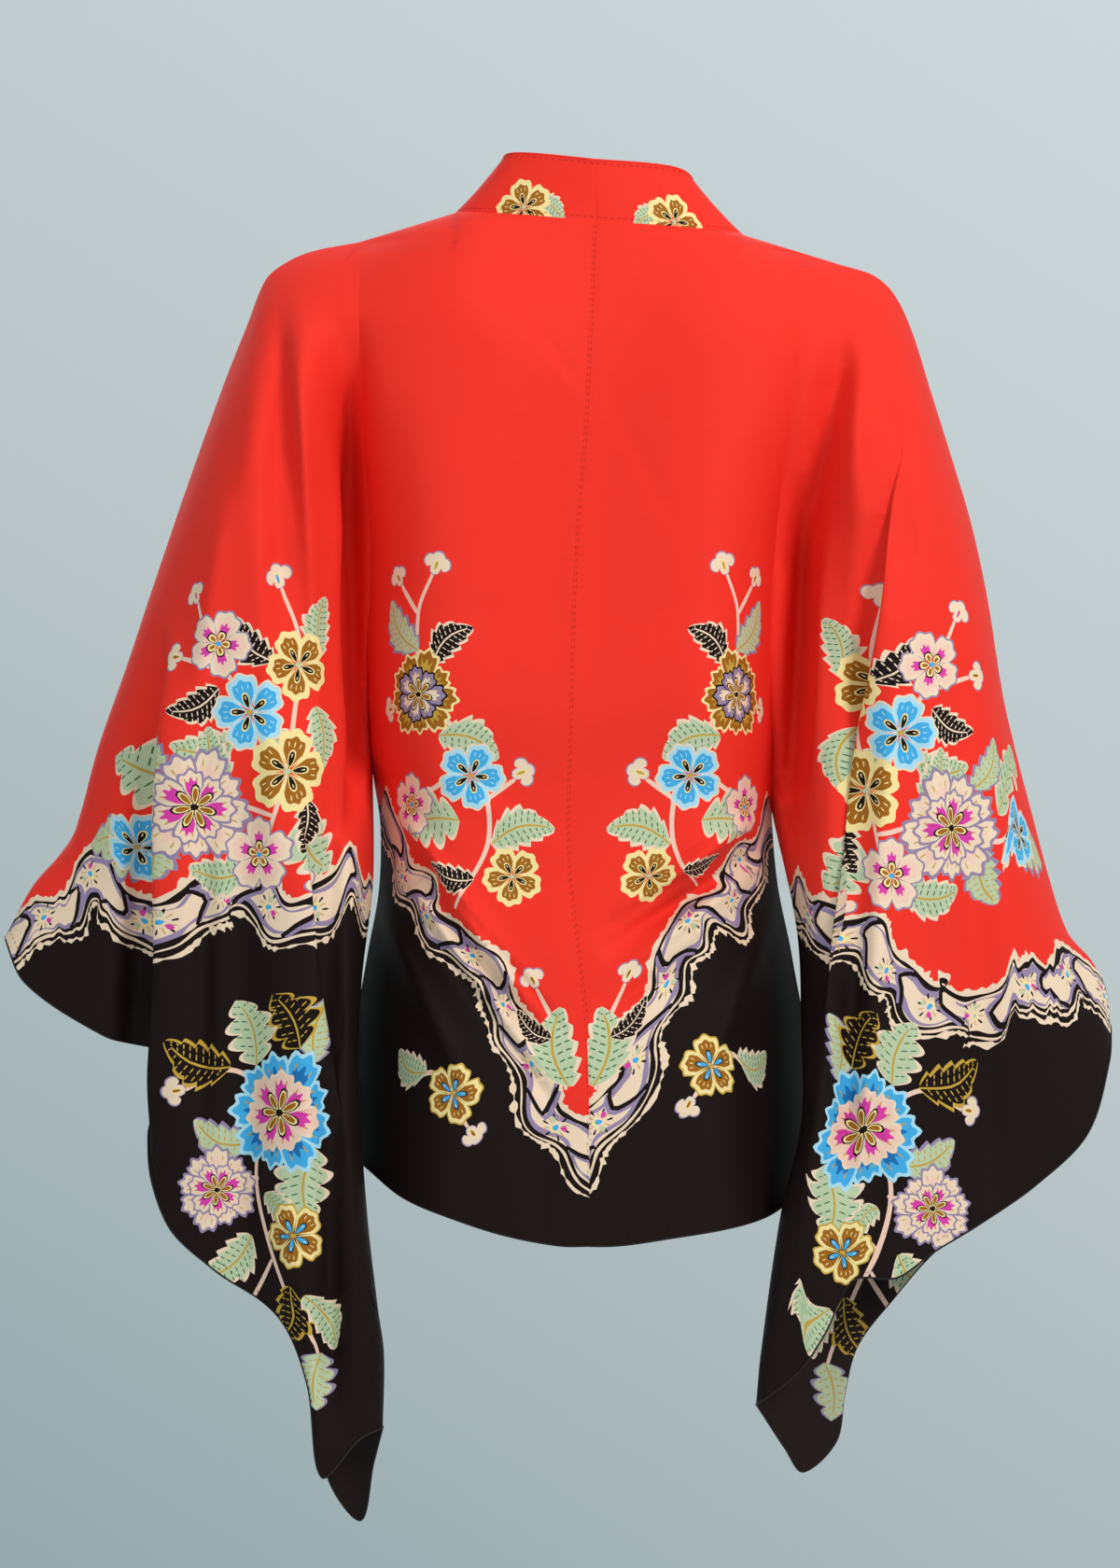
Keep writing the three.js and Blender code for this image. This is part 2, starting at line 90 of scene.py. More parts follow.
CENTRE_BACK = table(
    "z x",
    (0, -10), (-135, -4), (-230, 3), (-357, 7), (-433, 8), (-547, -4), (-700, -6),
)
DEPTHS = table(
    "z centre blade edge bust",
    (10, 84, 82, -78, -72), (-60, 89, 90, -97, -92), (-130, 95, 99, -116, -116),
    (-200, 100, 104, -124, -130), (-260, 104, 106, -122, -126), (-330, 108, 108, -111, -110),
    (-385, 99, 97, -101, -97), (-440, 100, 99, -102, -98), (-500, 112, 109, -108, -106),
    (-570, 121, 116, -114, -112), (-700, 121, 113, -113, -110),
)
ARMHOLE_DEPTHS = table(
    "share back front",
    (0, RIDGE, RIDGE), (0.03, 27, -14), (0.08, 50, -30), (0.16, 70, -43), (0.28, 74, -50),
    (0.4, 62, -52), (0.55, 50, -50), (0.75, 43, -40), (0.88, 34, -26), (0.96, 22, -8), (1, 8, 8),
)
FRONT_OPENING = table(
    "z x",
    (10, 86), (-30, 88), (-80, 80), (-150, 66), (-215, 55), (-260, FRONT_EDGE), (-700, FRONT_EDGE),
)
BAND_LEAN = table(
    "way inward up forward",
    (0, 0, 42, 6), (0.07, 9, 42, 11), (0.12, 28, 38, 8), (0.15, 37, 33, 5), (0.2, 41, 24, 9),
    (0.3, 43, 12, 11), (0.42, 43, 4, 7), (0.5, 43, 0, 3), (1, 43, 0, 2),
)
UNDERARM_DEPTHS = table(
    "way y", (0, 8), (0.17, 46), (0.32, 70), (0.5, 82), (0.66, 84), (0.8, 76), (1, 60)
)
SLEEVE_FULLNESS = table(
    "way back front",
    (0, 0, 0), (0.1, 16, -14), (0.3, 40, -42), (0.5, 48, -58), (0.75, 46, -58), (1, 38, -46),
)

# Folds run from (x0, z0) to (x1, z1), x away from the centre: crest height or trough depth, width.
FOLD = "x0 z0 x1 z1 height width"
FOLDS = {
    ("left", "back"): table(
        FOLD,
        (160, -95, 157, -390, -26, 13), (196, -50, 175, -250, 10, 14),
        (202, -60, 204, -260, -8, 9), (222, -70, 226, -160, 7, 10),
        (170, -400, 168, -800, -16, 10), (290, -300, 303, -560, -16, 11),
        (270, -300, 276, -640, 9, 14), (228, -380, 222, -760, -9, 16),
        (140, -384, 50, -512, 17, 9), (126, -412, 40, -538, -16, 8),
        (150, -440, 84, -570, 9, 8),
    ),
    ("right", "back"): table(
        FOLD,
        (178, -85, 150, -215, -18, 14), (151, -200, 142, -410, -26, 13),
        (196, -230, 178, -640, -15, 10), (180, -120, 196, -300, 10, 13),
        (212, -240, 190, -620, 9, 13), (238, -120, 262, -420, -7, 15),
        (262, -420, 275, -640, -9, 15), (132, -396, 48, -456, 16, 9),
        (124, -424, 36, -482, -15, 8), (140, -450, 92, -560, 8, 8),
    ),
    ("left", "front"): table(
        FOLD,
        (158, -110, 156, -380, 14, 12), (206, -90, 214, -300, 6, 13),
        (250, -240, 262, -560, 8, 15), (190, -380, 182, -760, 9, 14), (96, -300, 84, -620, 3, 16),
    ),
    ("right", "front"): table(
        FOLD,
        (150, -110, 146, -390, 14, 12), (200, -110, 206, -320, 6, 13),
        (240, -260, 256, -600, 8, 15), (180, -400, 170, -740, 9, 14), (92, -330, 80, -620, 3, 16),
    ),
}

# Small creases of the silk, added to the folds. The fronts and their sleeves have none.
CREASES = {
    ("left", "back"): table(
        FOLD,
        (157, -130, 153, -390, -20, 7), (205, -60, 192, -200, -6, 6), (188, -120, 176, -330, 6, 6),
        (214, -230, 206, -420, 4, 8), (244, -190, 258, -330, 5, 9), (252, -420, 256, -600, -5, 7),
        (30, -70, 10, -100, -1.2, 4), (24, -96, 8, -112, 0.9, 3), (90, -380, 30, -420, 2.2, 8),
        (134, -400, 26, -530, -6, 4), (118, -446, 30, -566, 5, 5), (104, -478, 24, -590, -5, 4),
        (60, -560, 90, -640, 2.0, 12), (20, -600, 30, -680, -1.5, 10),
        (110, -120, 70, -330, 1.6, 22), (204, -640, 190, -740, 5, 9),
        (222, -600, 240, -700, -4, 10),
    ),
    ("right", "back"): table(
        FOLD,
        (178, -110, 156, -220, -12, 7), (153, -215, 145, -400, -20, 7), (188, -70, 182, -180, 5, 8),
        (216, -110, 222, -260, -5, 8), (232, -330, 250, -500, 5, 10), (206, -520, 196, -690, -5, 8),
        (36, -64, 14, -96, 1.0, 4), (96, -400, 40, -436, 2.2, 8), (70, -570, 96, -650, 2.0, 12),
        (126, -412, 24, -474, -6, 4), (112, -446, 28, -506, 5, 5), (100, -474, 26, -530, -5, 4),
        (116, -140, 74, -340, 1.6, 22), (166, -520, 150, -700, 5, 8), (24, -130, 60, -200, -0.9, 7),
    ),
}

# Laps, where the cloth folds over itself along a line: reach is how far each layer slides over the
# fold, rise how far the inner layer stands over the outer one, or under it where negative.
LAP = "x0 z0 x1 z1 reach rise width"
LAPS = {
    ("left", "back"): table(
        LAP,
        (280, -262, 291, -660, 13, 5.5, 5), (193, -372, 158, -640, 8, -4.5, 4),
        (166, -130, 160, -430, 9, -6, 4),
    ),
    ("right", "back"): table(
        LAP,
        (224, -120, 160, -560, 13, -6, 5), (168, -190, 152, -420, 7, -5, 4),
    ),
}
LAP_START = 90  # a lap grows over this length from each end
LAP_WANDER, LAP_WAVE = 1.6, 31  # how far a lap's line strays, and how long its waves are
LAP_ALONG, LAP_ACROSS, LAP_WIDTHS = 2.2, 1.3, 3.2  # mesh points at a lap, out to so many widths
CENTRE_CALM = 14  # creases fade out over this distance from the centre back seam
RIPPLE = 0.5  # height of the silk's ripple, with its wave lengths across and down
RIPPLE_X, RIPPLE_Z, RIPPLE_SWAY = (23, 11), (90, 67), 71
GROOVE, GROOVE_WIDTH, ARM_GROOVE = 0.5, 2.2, 0.4  # how deep and wide the seams sink
PUCKER = (4.1, 9.7)  # wave lengths of a groove's unevenness
TURN_SOFTNESS = 0.3  # how gently a back panel starts to turn
TOP_CALM = 40  # the neck's corner fades out of a back panel over this drop
SHOULDER_ARCH = 22  # how far the back's turn rises between the neck and the arm
EASE_GRID, EASE_ROUNDS = (121, 101), 260  # see Side.ease
SEAM_POINTS, LINE_POINTS = 160, 200  # points of a line of stitches, and of a rolled edge

SIDES = {
    "left": {
        "sign": 1,
        "neck": (85, 9),
        "seams": table(
            "z x",
            (0, 151), (-60, 150), (-130, 148), (-225, 143), (-300, 145), (-345, 144), (-375, 142),
            (-410, 137), (-455, 138), (-500, 146), (-560, 155), (-700, 159),
        ),
        "hem": table(
            "x z",
            (-10, -692), (14, -692), (52, -685), (90, -673), (121, -661), (144, -645), (163, -632),
        ),
        "overarm": [
            (150, -11), (185, -18), (204, -27), (215, -37), (228, -69), (242, -104), (267, -173),
            (292, -246), (311, -303), (330, -357), (346, -414), (356, -430), (375, -452),
            (394, -487),
        ],
        "underarm": [
            (142, -375), (141, -449), (148, -515), (150, -578), (144, -673), (137, -737),
            (133, -768), (134, -818),
        ],
        "cuff": {
            "back": [
                (394, -487), (378, -518), (324, -553), (290, -566), (294, -598), (296, -623),
                (280, -680), (248, -711), (204, -743), (185, -787), (175, -851), (150, -826),
                (134, -818),
            ],
            "front": [
                (394, -487), (374, -520), (322, -550), (291, -570), (292, -600), (290, -640),
                (272, -685), (240, -711), (200, -745), (184, -790), (172, -858), (150, -885),
                (141, -845), (134, -818),
            ],
        },
    },
    "right": {
        "sign": -1,
        "neck": (111, -6),
        "seams": table(
            "z x",
            (0, 151), (-60, 148), (-130, 142), (-225, 132), (-300, 129), (-360, 131), (-401, 131),
            (-450, 135), (-500, 145), (-560, 154), (-700, 158),
        ),
        "hem": table(
            "x z",
            (-8, -692), (24, -692), (62, -687), (100, -681), (125, -675), (141, -667), (163, -654),
        ),
        "overarm": [
            (150, -18), (176, -26), (201, -34), (215, -47), (227, -72), (239, -110), (255, -161),
            (268, -205), (279, -256), (289, -319), (299, -363), (309, -401), (321, -446),
            (334, -484), (350, -503), (360, -522), (363, -547),
        ],
        "underarm": [
            (131, -401), (147, -483), (149, -545), (149, -610), (135, -673), (122, -768),
            (119, -803),
        ],
        "cuff": {
            "back": [
                (363, -547), (360, -572), (344, -620), (309, -654), (271, -680), (239, -699),
                (214, -716), (184, -718), (165, -754), (148, -779), (119, -803),
            ],
            "front": [
                (363, -547), (358, -574), (342, -622), (309, -656), (247, -701), (214, -737),
                (190, -768), (181, -800), (175, -832), (152, -852), (140, -836), (119, -803),
            ],
        },
    },
}


# ---- curves ------------------------------------------------------------------------------------


def mix(a, b, t):
    """From a to b, at share t."""
    return a + (b - a) * t


def clamp(t):
    return np.clip(t, 0.0, 1.0)


def smooth(t):
    return t * t * (3 - 2 * t)


def between(field, i, j, a, b):
    """Values of a grid between its points: at shares a and b past the point i, j."""
    low = mix(field[i, j], field[i, j + 1], b)
    return mix(low, mix(field[i + 1, j], field[i + 1, j + 1], b), a)


def crossed(a, b):
    """The flat cross product: twice the area of the triangle that a and b span."""
    return a[..., 0] * b[..., 1] - a[..., 1] * b[..., 0]


def strides(points):
    """Distances from each point to the next."""
    return np.linalg.norm(np.diff(points, axis=0), axis=1)


def way_along(points):
    """Length of the line up to each of its points."""
    return np.concatenate([[0], np.cumsum(strides(points))])


def by_line(x, z, x0, z0, x1, z1):
    """How far points lie along a line and beside it, and the line's length."""
    dx, dz = x1 - x0, z1 - z0
    length = math.hypot(dx, dz)
    along = ((x - x0) * dx + (z - z0) * dz) / length
    across = ((z - z0) * dx - (x - x0) * dz) / length
    return along, across, length


def quarter_round(t):
    return np.sqrt(1 - (1 - clamp(t)) ** 2)


def soft_start(t):
    """0 well before 0, and 1 at 1, without a kink where it starts to rise."""
    return (t + np.sqrt(t * t + TURN_SOFTNESS**2)) / (1 + math.hypot(1, TURN_SOFTNESS))


def curve(columns, key, name):
    """A smooth curve through one column of a table, read at values of its key column."""
    order = np.argsort(columns[key])
    k, v = columns[key][order], columns[name][order]
    lo, hi = np.maximum(np.arange(len(k)) - 1, 0), np.minimum(np.arange(len(k)) + 1, len(k) - 1)
    slope = (v[hi] - v[lo]) / (k[hi] - k[lo])

    def at(x):
        x = np.asarray(x, float)
        i = np.clip(np.searchsorted(k, x) - 1, 0, len(k) - 2)
        span = k[i + 1] - k[i]
        t = clamp((x - k[i]) / span)
        return (
            v[i] + (v[i + 1] - v[i]) * t * t * (3 - 2 * t)
            + span * slope[i] * t * (1 - t) ** 2 - span * slope[i + 1] * t * t * (1 - t)
        )

    return at


def line(points):
    """A smooth line through points, read at a share of its length; one curve for each axis."""
    points = np.array(points, float)
    way = way_along(points)
    columns = {"way": way / way[-1]}
    columns.update({str(i): points[:, i] for i in range(points.shape[1])})
    curves = [curve(columns, "way", str(i)) for i in range(points.shape[1])]
    return lambda share: [c(share) for c in curves]


def fold_depth(folds, x, z):
    """How far a table of folds lifts the cloth at points."""
    depth = np.zeros(np.broadcast(x, z).shape)
    if folds is None:
        return depth
    for x0, z0, x1, z1, height, width in zip(*(folds[name] for name in FOLD.split())):
        along, across, length = by_line(x, z, x0, z0, x1, z1)
        fade = clamp((along + FOLD_END) / (2 * FOLD_END))
        fade = fade * clamp((length - along + FOLD_END) / (2 * FOLD_END))
        depth += height * np.exp(-((across / width) ** 2)) * fade
    return depth


centre_x = curve(CENTRE_BACK, "z", "x")
depth_of = {name: curve(DEPTHS, "z", name) for name in ("centre", "blade", "edge", "bust")}
opening_x = curve(FRONT_OPENING, "z", "x")
band_lean = {name: curve(BAND_LEAN, "way", name) for name in ("inward", "up", "forward")}
armhole_y = {face: curve(ARMHOLE_DEPTHS, "share", face) for face in ("back", "front")}
under_y = curve(UNDERARM_DEPTHS, "way", "y")
fullness = {face: curve(SLEEVE_FULLNESS, "way", face) for face in ("back", "front")}


class Side:
    """The sheets of one side. Each method gives points for shares across and down a piece."""

    def __init__(self, name):
        self.name = name
        side = SIDES[name]
        self.sign = side["sign"]
        self.neck_x, self.neck_z = side["neck"]
        self.side_x = curve(side["seams"], "z", "x")
        self.hem_z = curve(side["hem"], "x", "z")
        self.over, self.under = line(side["overarm"]), line(side["underarm"])
        self.cuff = {face: line(points) for face, points in side["cuff"].items()}
        self.top_x, self.top_z = (float(c) for c in self.over(0))
        self.under_x, self.under_z = (float(c) for c in self.under(0))
        self.armhole = self.top_z - self.under_z
        middle = self.sign * centre_x(0)
        self.neck_share = float((self.neck_x - middle) / (self.top_x - middle))
        self.lapped = True
        self.easing = {face: self.ease(face) for face in ("back", "front")}
        self.seam = self.collar_seam()

    def centre(self, z):
        return self.sign * centre_x(z)

    def seam_y(self, face, z):
        share = np.maximum(0, (self.top_z - z) / self.armhole)
        low = mix(under_y(0), SIDE_SEAM, clamp((self.under_z - z) / SEAM_SWING))
        return np.where(share < 1, armhole_y[face](share), low)

    def folded(self, face, x, y, z, free):
        """Adds the main folds, then the small ones."""
        return self.settle(face, x, y + fold_depth(FOLDS[self.name, face], x, z) * free, z, free)

    def loose(self, share, z, z_top):
        """How free a panel is to fold: 0 at its top edge and at the underarm, 1 away from them."""
        near = clamp((1 - (self.top_z - z) / self.armhole) / UNDERARM_CALM)
        return clamp((z_top - z) / FOLD_START) * mix(1, near, share**8)

    def level(self, t, z_top, z_hem):
        """Down a panel: 0 at its top, 1 at the underarm point and 2 at the hem."""
        return np.where(t < 1, mix(z_top, self.under_z, t), mix(self.under_z, z_hem, t - 1))

    def back(self, share, t):
        on_nape = clamp(share / self.neck_share)
        on_shoulder = clamp((share - self.neck_share) / (1 - self.neck_share))
        z_top = np.where(
            on_nape < 1, self.neck_z * on_nape, mix(self.neck_z, self.top_z, on_shoulder)
        )
        y_top = RIDGE + (NECK_BACK - RIDGE) * np.sqrt(np.maximum(0, 1 - on_nape**NAPE_ROUND))
        eased = smooth(on_nape)
        drop = mix(NAPE_DROP, SHOULDER_DROP, eased)
        x_hem = mix(self.centre(HEM_MIDDLE), self.side_x(HEM_SIDE), share)
        z = self.level(t, z_top, self.hem_z(x_hem))
        x = mix(self.centre(z), self.side_x(z), share)
        lower = clamp((z_top - z) / TOP_CALM)
        arch = SHOULDER_ARCH * share * (1 - share) + self.top_z * share**2
        y_top = mix(y_top, RIDGE + (NECK_BACK - RIDGE) * np.cos(share * math.pi / 2) ** 2, lower)
        hang = clamp((mix(z_top, arch, lower) - z) / drop)
        turn = mix(np.sin(hang * math.pi / 2), quarter_round(hang), eased)
        blade = np.sin(clamp(share / BLADE) * math.pi / 2) ** 2
        inner = mix(y_top, mix(depth_of["centre"](z), depth_of["blade"](z), blade), turn)
        fall = mix(SIDE_FALL, HIP_FALL, clamp((self.under_z - z) / HIP_START))
        around = soft_start((share - BLADE) / (1 - BLADE)) ** fall
        y = mix(inner, self.seam_y("back", z), around)
        return self.folded("back", x, y, z, self.loose(share, z, z_top))

    def front(self, share, t):
        z_top = mix(self.neck_z, self.top_z, share)
        at_top = self.side_x(z_top)
        on_seam = mix(mix(self.centre(z_top), at_top, self.neck_share), at_top, share)
        z = self.level(t, z_top, self.hem_z(self.side_x(HEM_SIDE)) - FRONT_DIP * (1 - share))
        near = 1 - clamp((z_top - z) / SHOULDER_DROP)
        x = mix(opening_x(z), self.side_x(z), share)
        x = x + near * (on_seam - mix(opening_x(z_top), at_top, share))
        full = mix(depth_of["edge"](z), depth_of["bust"](z), np.sin(share * math.pi) ** 2)
        inner = mix(RIDGE, full, quarter_round((z_top - z) / SHOULDER_DROP))
        y = mix(inner, self.seam_y("front", z), share**SIDE_FALL)
        return self.folded("front", x, y, z, self.loose(share, z, z_top))

    def patch(self, p, q, outer, inner, arm, end, corners):
        """Blends four edges into one sheet."""
        top, under, cuff_top, cuff_under = corners
        ruled = mix(outer, inner, q) + mix(arm, end, p)
        return ruled - mix(mix(top, under, q), mix(cuff_top, cuff_under, q), p)

    def plan(self, face, p, q):
        """x and z of a sleeve, from its edges alone."""
        arm_z = mix(self.top_z, self.under_z, q)
        cuff_x, cuff_z = self.cuff[face](q)
        (over_x, over_z), (low_x, low_z) = self.over(p), self.under(p)
        (end_x, end_z), (tip_x, tip_z) = self.over(1), self.under(1)
        x = self.patch(
            p, q, over_x, low_x, self.side_x(arm_z), cuff_x,
            (self.top_x, self.under_x, end_x, tip_x),
        )
        z = self.patch(
            p, q, over_z, low_z, arm_z, cuff_z, (self.top_z, self.under_z, end_z, tip_z)
        )
        return x, z

    def ease(self, face):
        """How far points move inside a sleeve, so that no part of it runs backwards."""
        p, q = np.meshgrid(*(np.linspace(0, 1, count) for count in EASE_GRID), indexing="ij")
        plan = np.stack(self.plan(face, p, q), axis=-1)
        eased = plan.copy()
        for _ in range(EASE_ROUNDS):
            eased[1:-1, 1:-1] = (
                eased[2:, 1:-1] + eased[:-2, 1:-1] + eased[1:-1, 2:] + eased[1:-1, :-2]
            ) / 4
        return eased - plan

    def eased(self, face, p, q):
        fi, fj = (clamp(share) * (count - 1.001) for share, count in zip((p, q), EASE_GRID))
        i, j = fi.astype(int), fj.astype(int)
        a, b = (fi - i)[..., None], (fj - j)[..., None]
        return between(self.easing[face], i, j, a, b)

    def sleeve(self, face, p, q):
        """p runs along the arm and q from the overarm seam to the underarm seam."""
        p, q = np.broadcast_arrays(np.asarray(p, float), np.asarray(q, float))
        arm_z = mix(self.top_z, self.under_z, q)
        x, z = self.plan(face, p, q)
        shift = self.eased(face, p, q)
        x, z = x + shift[..., 0], z + shift[..., 1]
        y = self.patch(
            p, q, RIDGE, under_y(p), self.seam_y(face, arm_z), mix(RIDGE, under_y(1), q),
            (RIDGE, under_y(0), RIDGE, under_y(1)),
        )
        closing = clamp((q - SLEEVE_TUCK) / (1 - SLEEVE_TUCK))
        body = quarter_round(q / ARM_ROUND) * np.sqrt(1 - closing**2)
        free = clamp(q * self.armhole / FOLD_START) * clamp((1 - q) / UNDERARM_CALM)
        return self.folded(face, x, y + fullness[face](p) * body, z, free)

    def settle(self, face, x, y, z, free):
        """Adds the creases, the ripple of the silk, the seams' grooves and the laps. free is 0 at
        the seams that the back shares with the front."""
        way = 1 if face == "back" else -1
        inner = clamp((x - self.centre(z)) / CENTRE_CALM) if face == "back" else 1
        slant = x / RIPPLE_X[0] + z / RIPPLE_Z[0] + 1.3 * np.sin(z / RIPPLE_SWAY)
        ripple = np.sin(slant) + 0.6 * np.sin(x / RIPPLE_X[1] - z / RIPPLE_Z[1])
        lift = fold_depth(CREASES.get((self.name, face)), x, z) + way * RIPPLE * ripple
        y = y + lift * inner * free
        pucker = 1 + 0.35 * np.sin(z / PUCKER[0]) + 0.3 * np.sin(z / PUCKER[1])
        at_arm = np.exp(-(((x - self.side_x(z)) / GROOVE_WIDTH) ** 2)) * (z > self.under_z)
        groove = ARM_GROOVE * at_arm * free
        if face == "back":
            groove = groove + np.exp(-(((x - self.centre(z)) / GROOVE_WIDTH) ** 2))
        y = y - way * GROOVE * pucker * groove
        for x0, z0, x1, z1, reach, rise, width in self.laps(face) if self.lapped else ():
            along, across, length = by_line(x, z, x0, z0, x1, z1)
            out = (across + LAP_WANDER * np.sin(along / LAP_WAVE)) / width
            grown = smooth(clamp(along / LAP_START) * clamp((length - along) / LAP_START))
            x = x - reach * grown * out * np.exp(-0.5 * out**2)
            y = y - rise * grown * np.tanh(out / 0.7) * np.exp(-((out / 4) ** 2))
        return np.stack([self.sign * x, y, z], axis=-1)

    def laps(self, face):
        laps = LAPS.get((self.name, face))
        return [] if laps is None else list(zip(*(laps[name] for name in LAP.split())))

    def near_laps(self, face):
        """Closely spaced points (x, z) on both sides of each lap."""
        points = [np.zeros((0, 2))]
        for x0, z0, x1, z1, _, _, width in self.laps(face):
            length = math.hypot(x1 - x0, z1 - z0)
            way = np.array((x1 - x0, z1 - z0)) / length
            side = np.array((-way[1], way[0]))
            a, b = np.meshgrid(
                np.arange(0, length, LAP_ALONG),
                np.arange(-LAP_WIDTHS, LAP_WIDTHS + 0.01, LAP_ACROSS / width) * width,
            )
            b = b - LAP_WANDER * np.sin(a / LAP_WAVE)
            points.append((x0, z0) + a.reshape(-1, 1) * way + b.reshape(-1, 1) * side)
        return np.concatenate(points) * (self.sign, 1)

    def collar_seam(self):
        nape = np.linspace(0, self.neck_share, 40)
        down = np.concatenate([np.linspace(0, 1, 120), np.linspace(1, 2, 90)[1:]])[1:]
        points = np.concatenate([
            self.back(nape, np.zeros(40)), self.front(np.zeros(len(down)), down)
        ])
        self.seam_length = strides(points).sum()
        return line(points)

    def neckband(self, t, way):
        """t runs across the band from its seam, and way along it from the centre back."""
        seam = np.stack(self.seam(way), axis=-1)
        lean = np.stack([
            -self.sign * band_lean["inward"](way), -band_lean["forward"](way), band_lean["up"](way)
        ], axis=-1)
        return seam + lean * np.asarray(t)[..., None]


# ---- unrolling a piece flat, for its print -----------------------------------------------------

UNROLL_PITCH, STEEPEST, ABOVE = 2.5, 4, 1000  # grid step, steepest slope, start of the rays


def grid_triangles(rows, cols):
    """Two triangles for each cell of a grid of points."""
    k = (np.arange(rows - 1)[:, None] * cols + np.arange(cols - 1)).ravel()
    return np.concatenate([
        np.stack([k, k + cols, k + cols + 1], axis=1), np.stack([k, k + cols + 1, k + 1], axis=1)
    ])


def filled(rows):
    """Each row's gaps take the nearest value in the row, and empty rows the nearest row."""
    rows = rows.copy()
    at = np.arange(rows.shape[1])
    whole = []
    for i, row in enumerate(rows):
        known = ~np.isnan(row)
        if known.any():
            rows[i] = np.interp(at, at[known], row[known])
            whole.append(i)
    gaps = np.abs(np.subtract.outer(np.arange(len(rows)), whole))
    return rows[np.array(whole)[np.argmin(gaps, axis=1)]]


def unroll(points, anchor_x, level):
    """Lengths across and down the cloth at each point. They equal x on the anchor line and -z at
    the level."""
    pitch = UNROLL_PITCH
    flat = points.reshape(-1, 3)
    tree = BVHTree.FromPolygons(
        [(x, z, y) for x, y, z in flat.tolist()], grid_triangles(*points.shape[:2]).tolist()
    )
    (x0, _, z0), (x1, _, z1) = flat.min(0), flat.max(0)
    xs = np.arange(x0 - pitch, x1 + 2 * pitch, pitch)
    zs = np.arange(z0 - pitch, z1 + 2 * pitch, pitch)
    depth = np.full((len(zs), len(xs)), np.nan)
    for i, z in enumerate(zs):
        for j, x in enumerate(xs):
            hit = tree.ray_cast(Vector((x, z, ABOVE)), DOWN)[0]
            if hit is not None:
                depth[i, j] = hit.z

    def lengths(rows, at, origin):
        slope = np.clip(np.diff(filled(rows), axis=1) / pitch, -STEEPEST, STEEPEST)
        steps = np.sqrt(1 + slope**2) * pitch
        way = np.concatenate([np.zeros((len(rows), 1)), np.cumsum(steps, axis=1)], axis=1)
        zero = np.array([np.interp(origin[i], at, row) for i, row in enumerate(way)])
        return way - zero[:, None] + origin[:, None]

    across = lengths(depth, xs, anchor_x(zs))
    along = -lengths(depth.T, zs, np.full(len(xs), float(level))).T

    def read(field):
        fi = np.clip((points[..., 2] - zs[0]) / pitch, 0, len(zs) - 1.001)
        fj = np.clip((points[..., 0] - xs[0]) / pitch, 0, len(xs) - 1.001)
        i, j = fi.astype(int), fj.astype(int)
        return between(field, i, j, fi - i, fj - j)

    return np.stack([read(across), read(along)], axis=-1)


# ---- colours of the silk -----------------------------------------------------------------------


def linear(colour):
    """A display colour as the light it stands for."""
    return tuple(c / 12.92 if c <= 0.04045 else ((c + 0.055) / 1.055) ** 2.4 for c in colour)


class JacketSizes(bpy.types.PropertyGroup):
    thickness: FloatProperty(
        name="Silk thickness", description="Thickness of the silk", default=0.0006, min=0.0002,
        max=0.002, precision=4, unit="LENGTH",
    )
    mesh_step: FloatProperty(
        name="Mesh step", description="Distance between the points of a sheet", default=0.0042,
        min=0.002, max=0.02, precision=4, unit="LENGTH",
    )
    stitch: FloatProperty(
        name="Stitch length", description="Length of one stitch with its gap", default=0.0045,
        min=0.002, max=0.02, precision=4, unit="LENGTH",
    )
    thread: FloatProperty(
        name="Thread", description="Thickness of the sewing thread", default=0.0004, min=0.0002,
        max=0.002, precision=4, unit="LENGTH",
    )


def dye(name, description, default):
    return FloatVectorProperty(
        name=name, description=description, default=default, size=3, min=0, max=1,
        subtype="COLOR_GAMMA",
    )


class JacketDyes(bpy.types.PropertyGroup):
    red: dye("Red", "Upper ground", (0.93, 0.20, 0.155))
    black: dye("Black", "Lower ground", (0.115, 0.078, 0.072))
    cream: dye("Cream", "Ground of the border", (0.92, 0.80, 0.69))
    lavender: dye("Lavender", "Shading of the border and outlines", (0.58, 0.50, 0.62))
    blush: dye("Blush", "Stems and pale petals", (0.93, 0.76, 0.68))
    straw: dye("Straw", "Rims of the yellow flowers", (0.94, 0.84, 0.58))
    ochre: dye("Ochre", "Petals and seeds", (0.62, 0.38, 0.11))
    gold: dye("Gold", "Veins and stamens", (0.76, 0.60, 0.24))
    sage: dye("Sage", "Leaf blades", (0.72, 0.76, 0.62))
    green: dye("Green", "Leaf ticks", (0.22, 0.42, 0.25))
    sky: dye("Sky", "Blue petals", (0.26, 0.64, 0.84))
    mist: dye("Mist", "Rims of the blue petals", (0.66, 0.82, 0.88))
    deep: dye("Deep blue", "Shade of the blue petals", (0.13, 0.42, 0.66))
    magenta: dye("Magenta", "Hearts of the pink flowers", (0.84, 0.24, 0.62))
    seam: dye("Seam thread", "Thread of the red seams", (0.62, 0.09, 0.07))


# ---- a piece of cloth as a mesh ----------------------------------------------------------------

NORMAL_REACH = 0.0015  # share of a piece over which its slope is read
LAP_GAP, RIM_GAP = 0.5, 0.55  # steps that the lattice keeps from a lap's points, and from the rim
CUT_PRECISION = 1e-4
SPILL = 1.2  # a motif that covers so many times its outline crosses itself, and is left out


def spaced(edge, step, samples=400):
    """Shares along an edge at equal distances, so that two pieces at a seam share their points."""
    t = np.linspace(0, 1, samples)
    points = edge(t)
    way = way_along(points)
    count = max(2, int(math.ceil(way[-1] / step)))
    return np.interp(np.linspace(0, way[-1], count + 1), way, t)


def flat_tree(nodes, triangles):
    return BVHTree.FromPolygons([(a, b, 0.0) for a, b in nodes.tolist()], triangles.tolist())


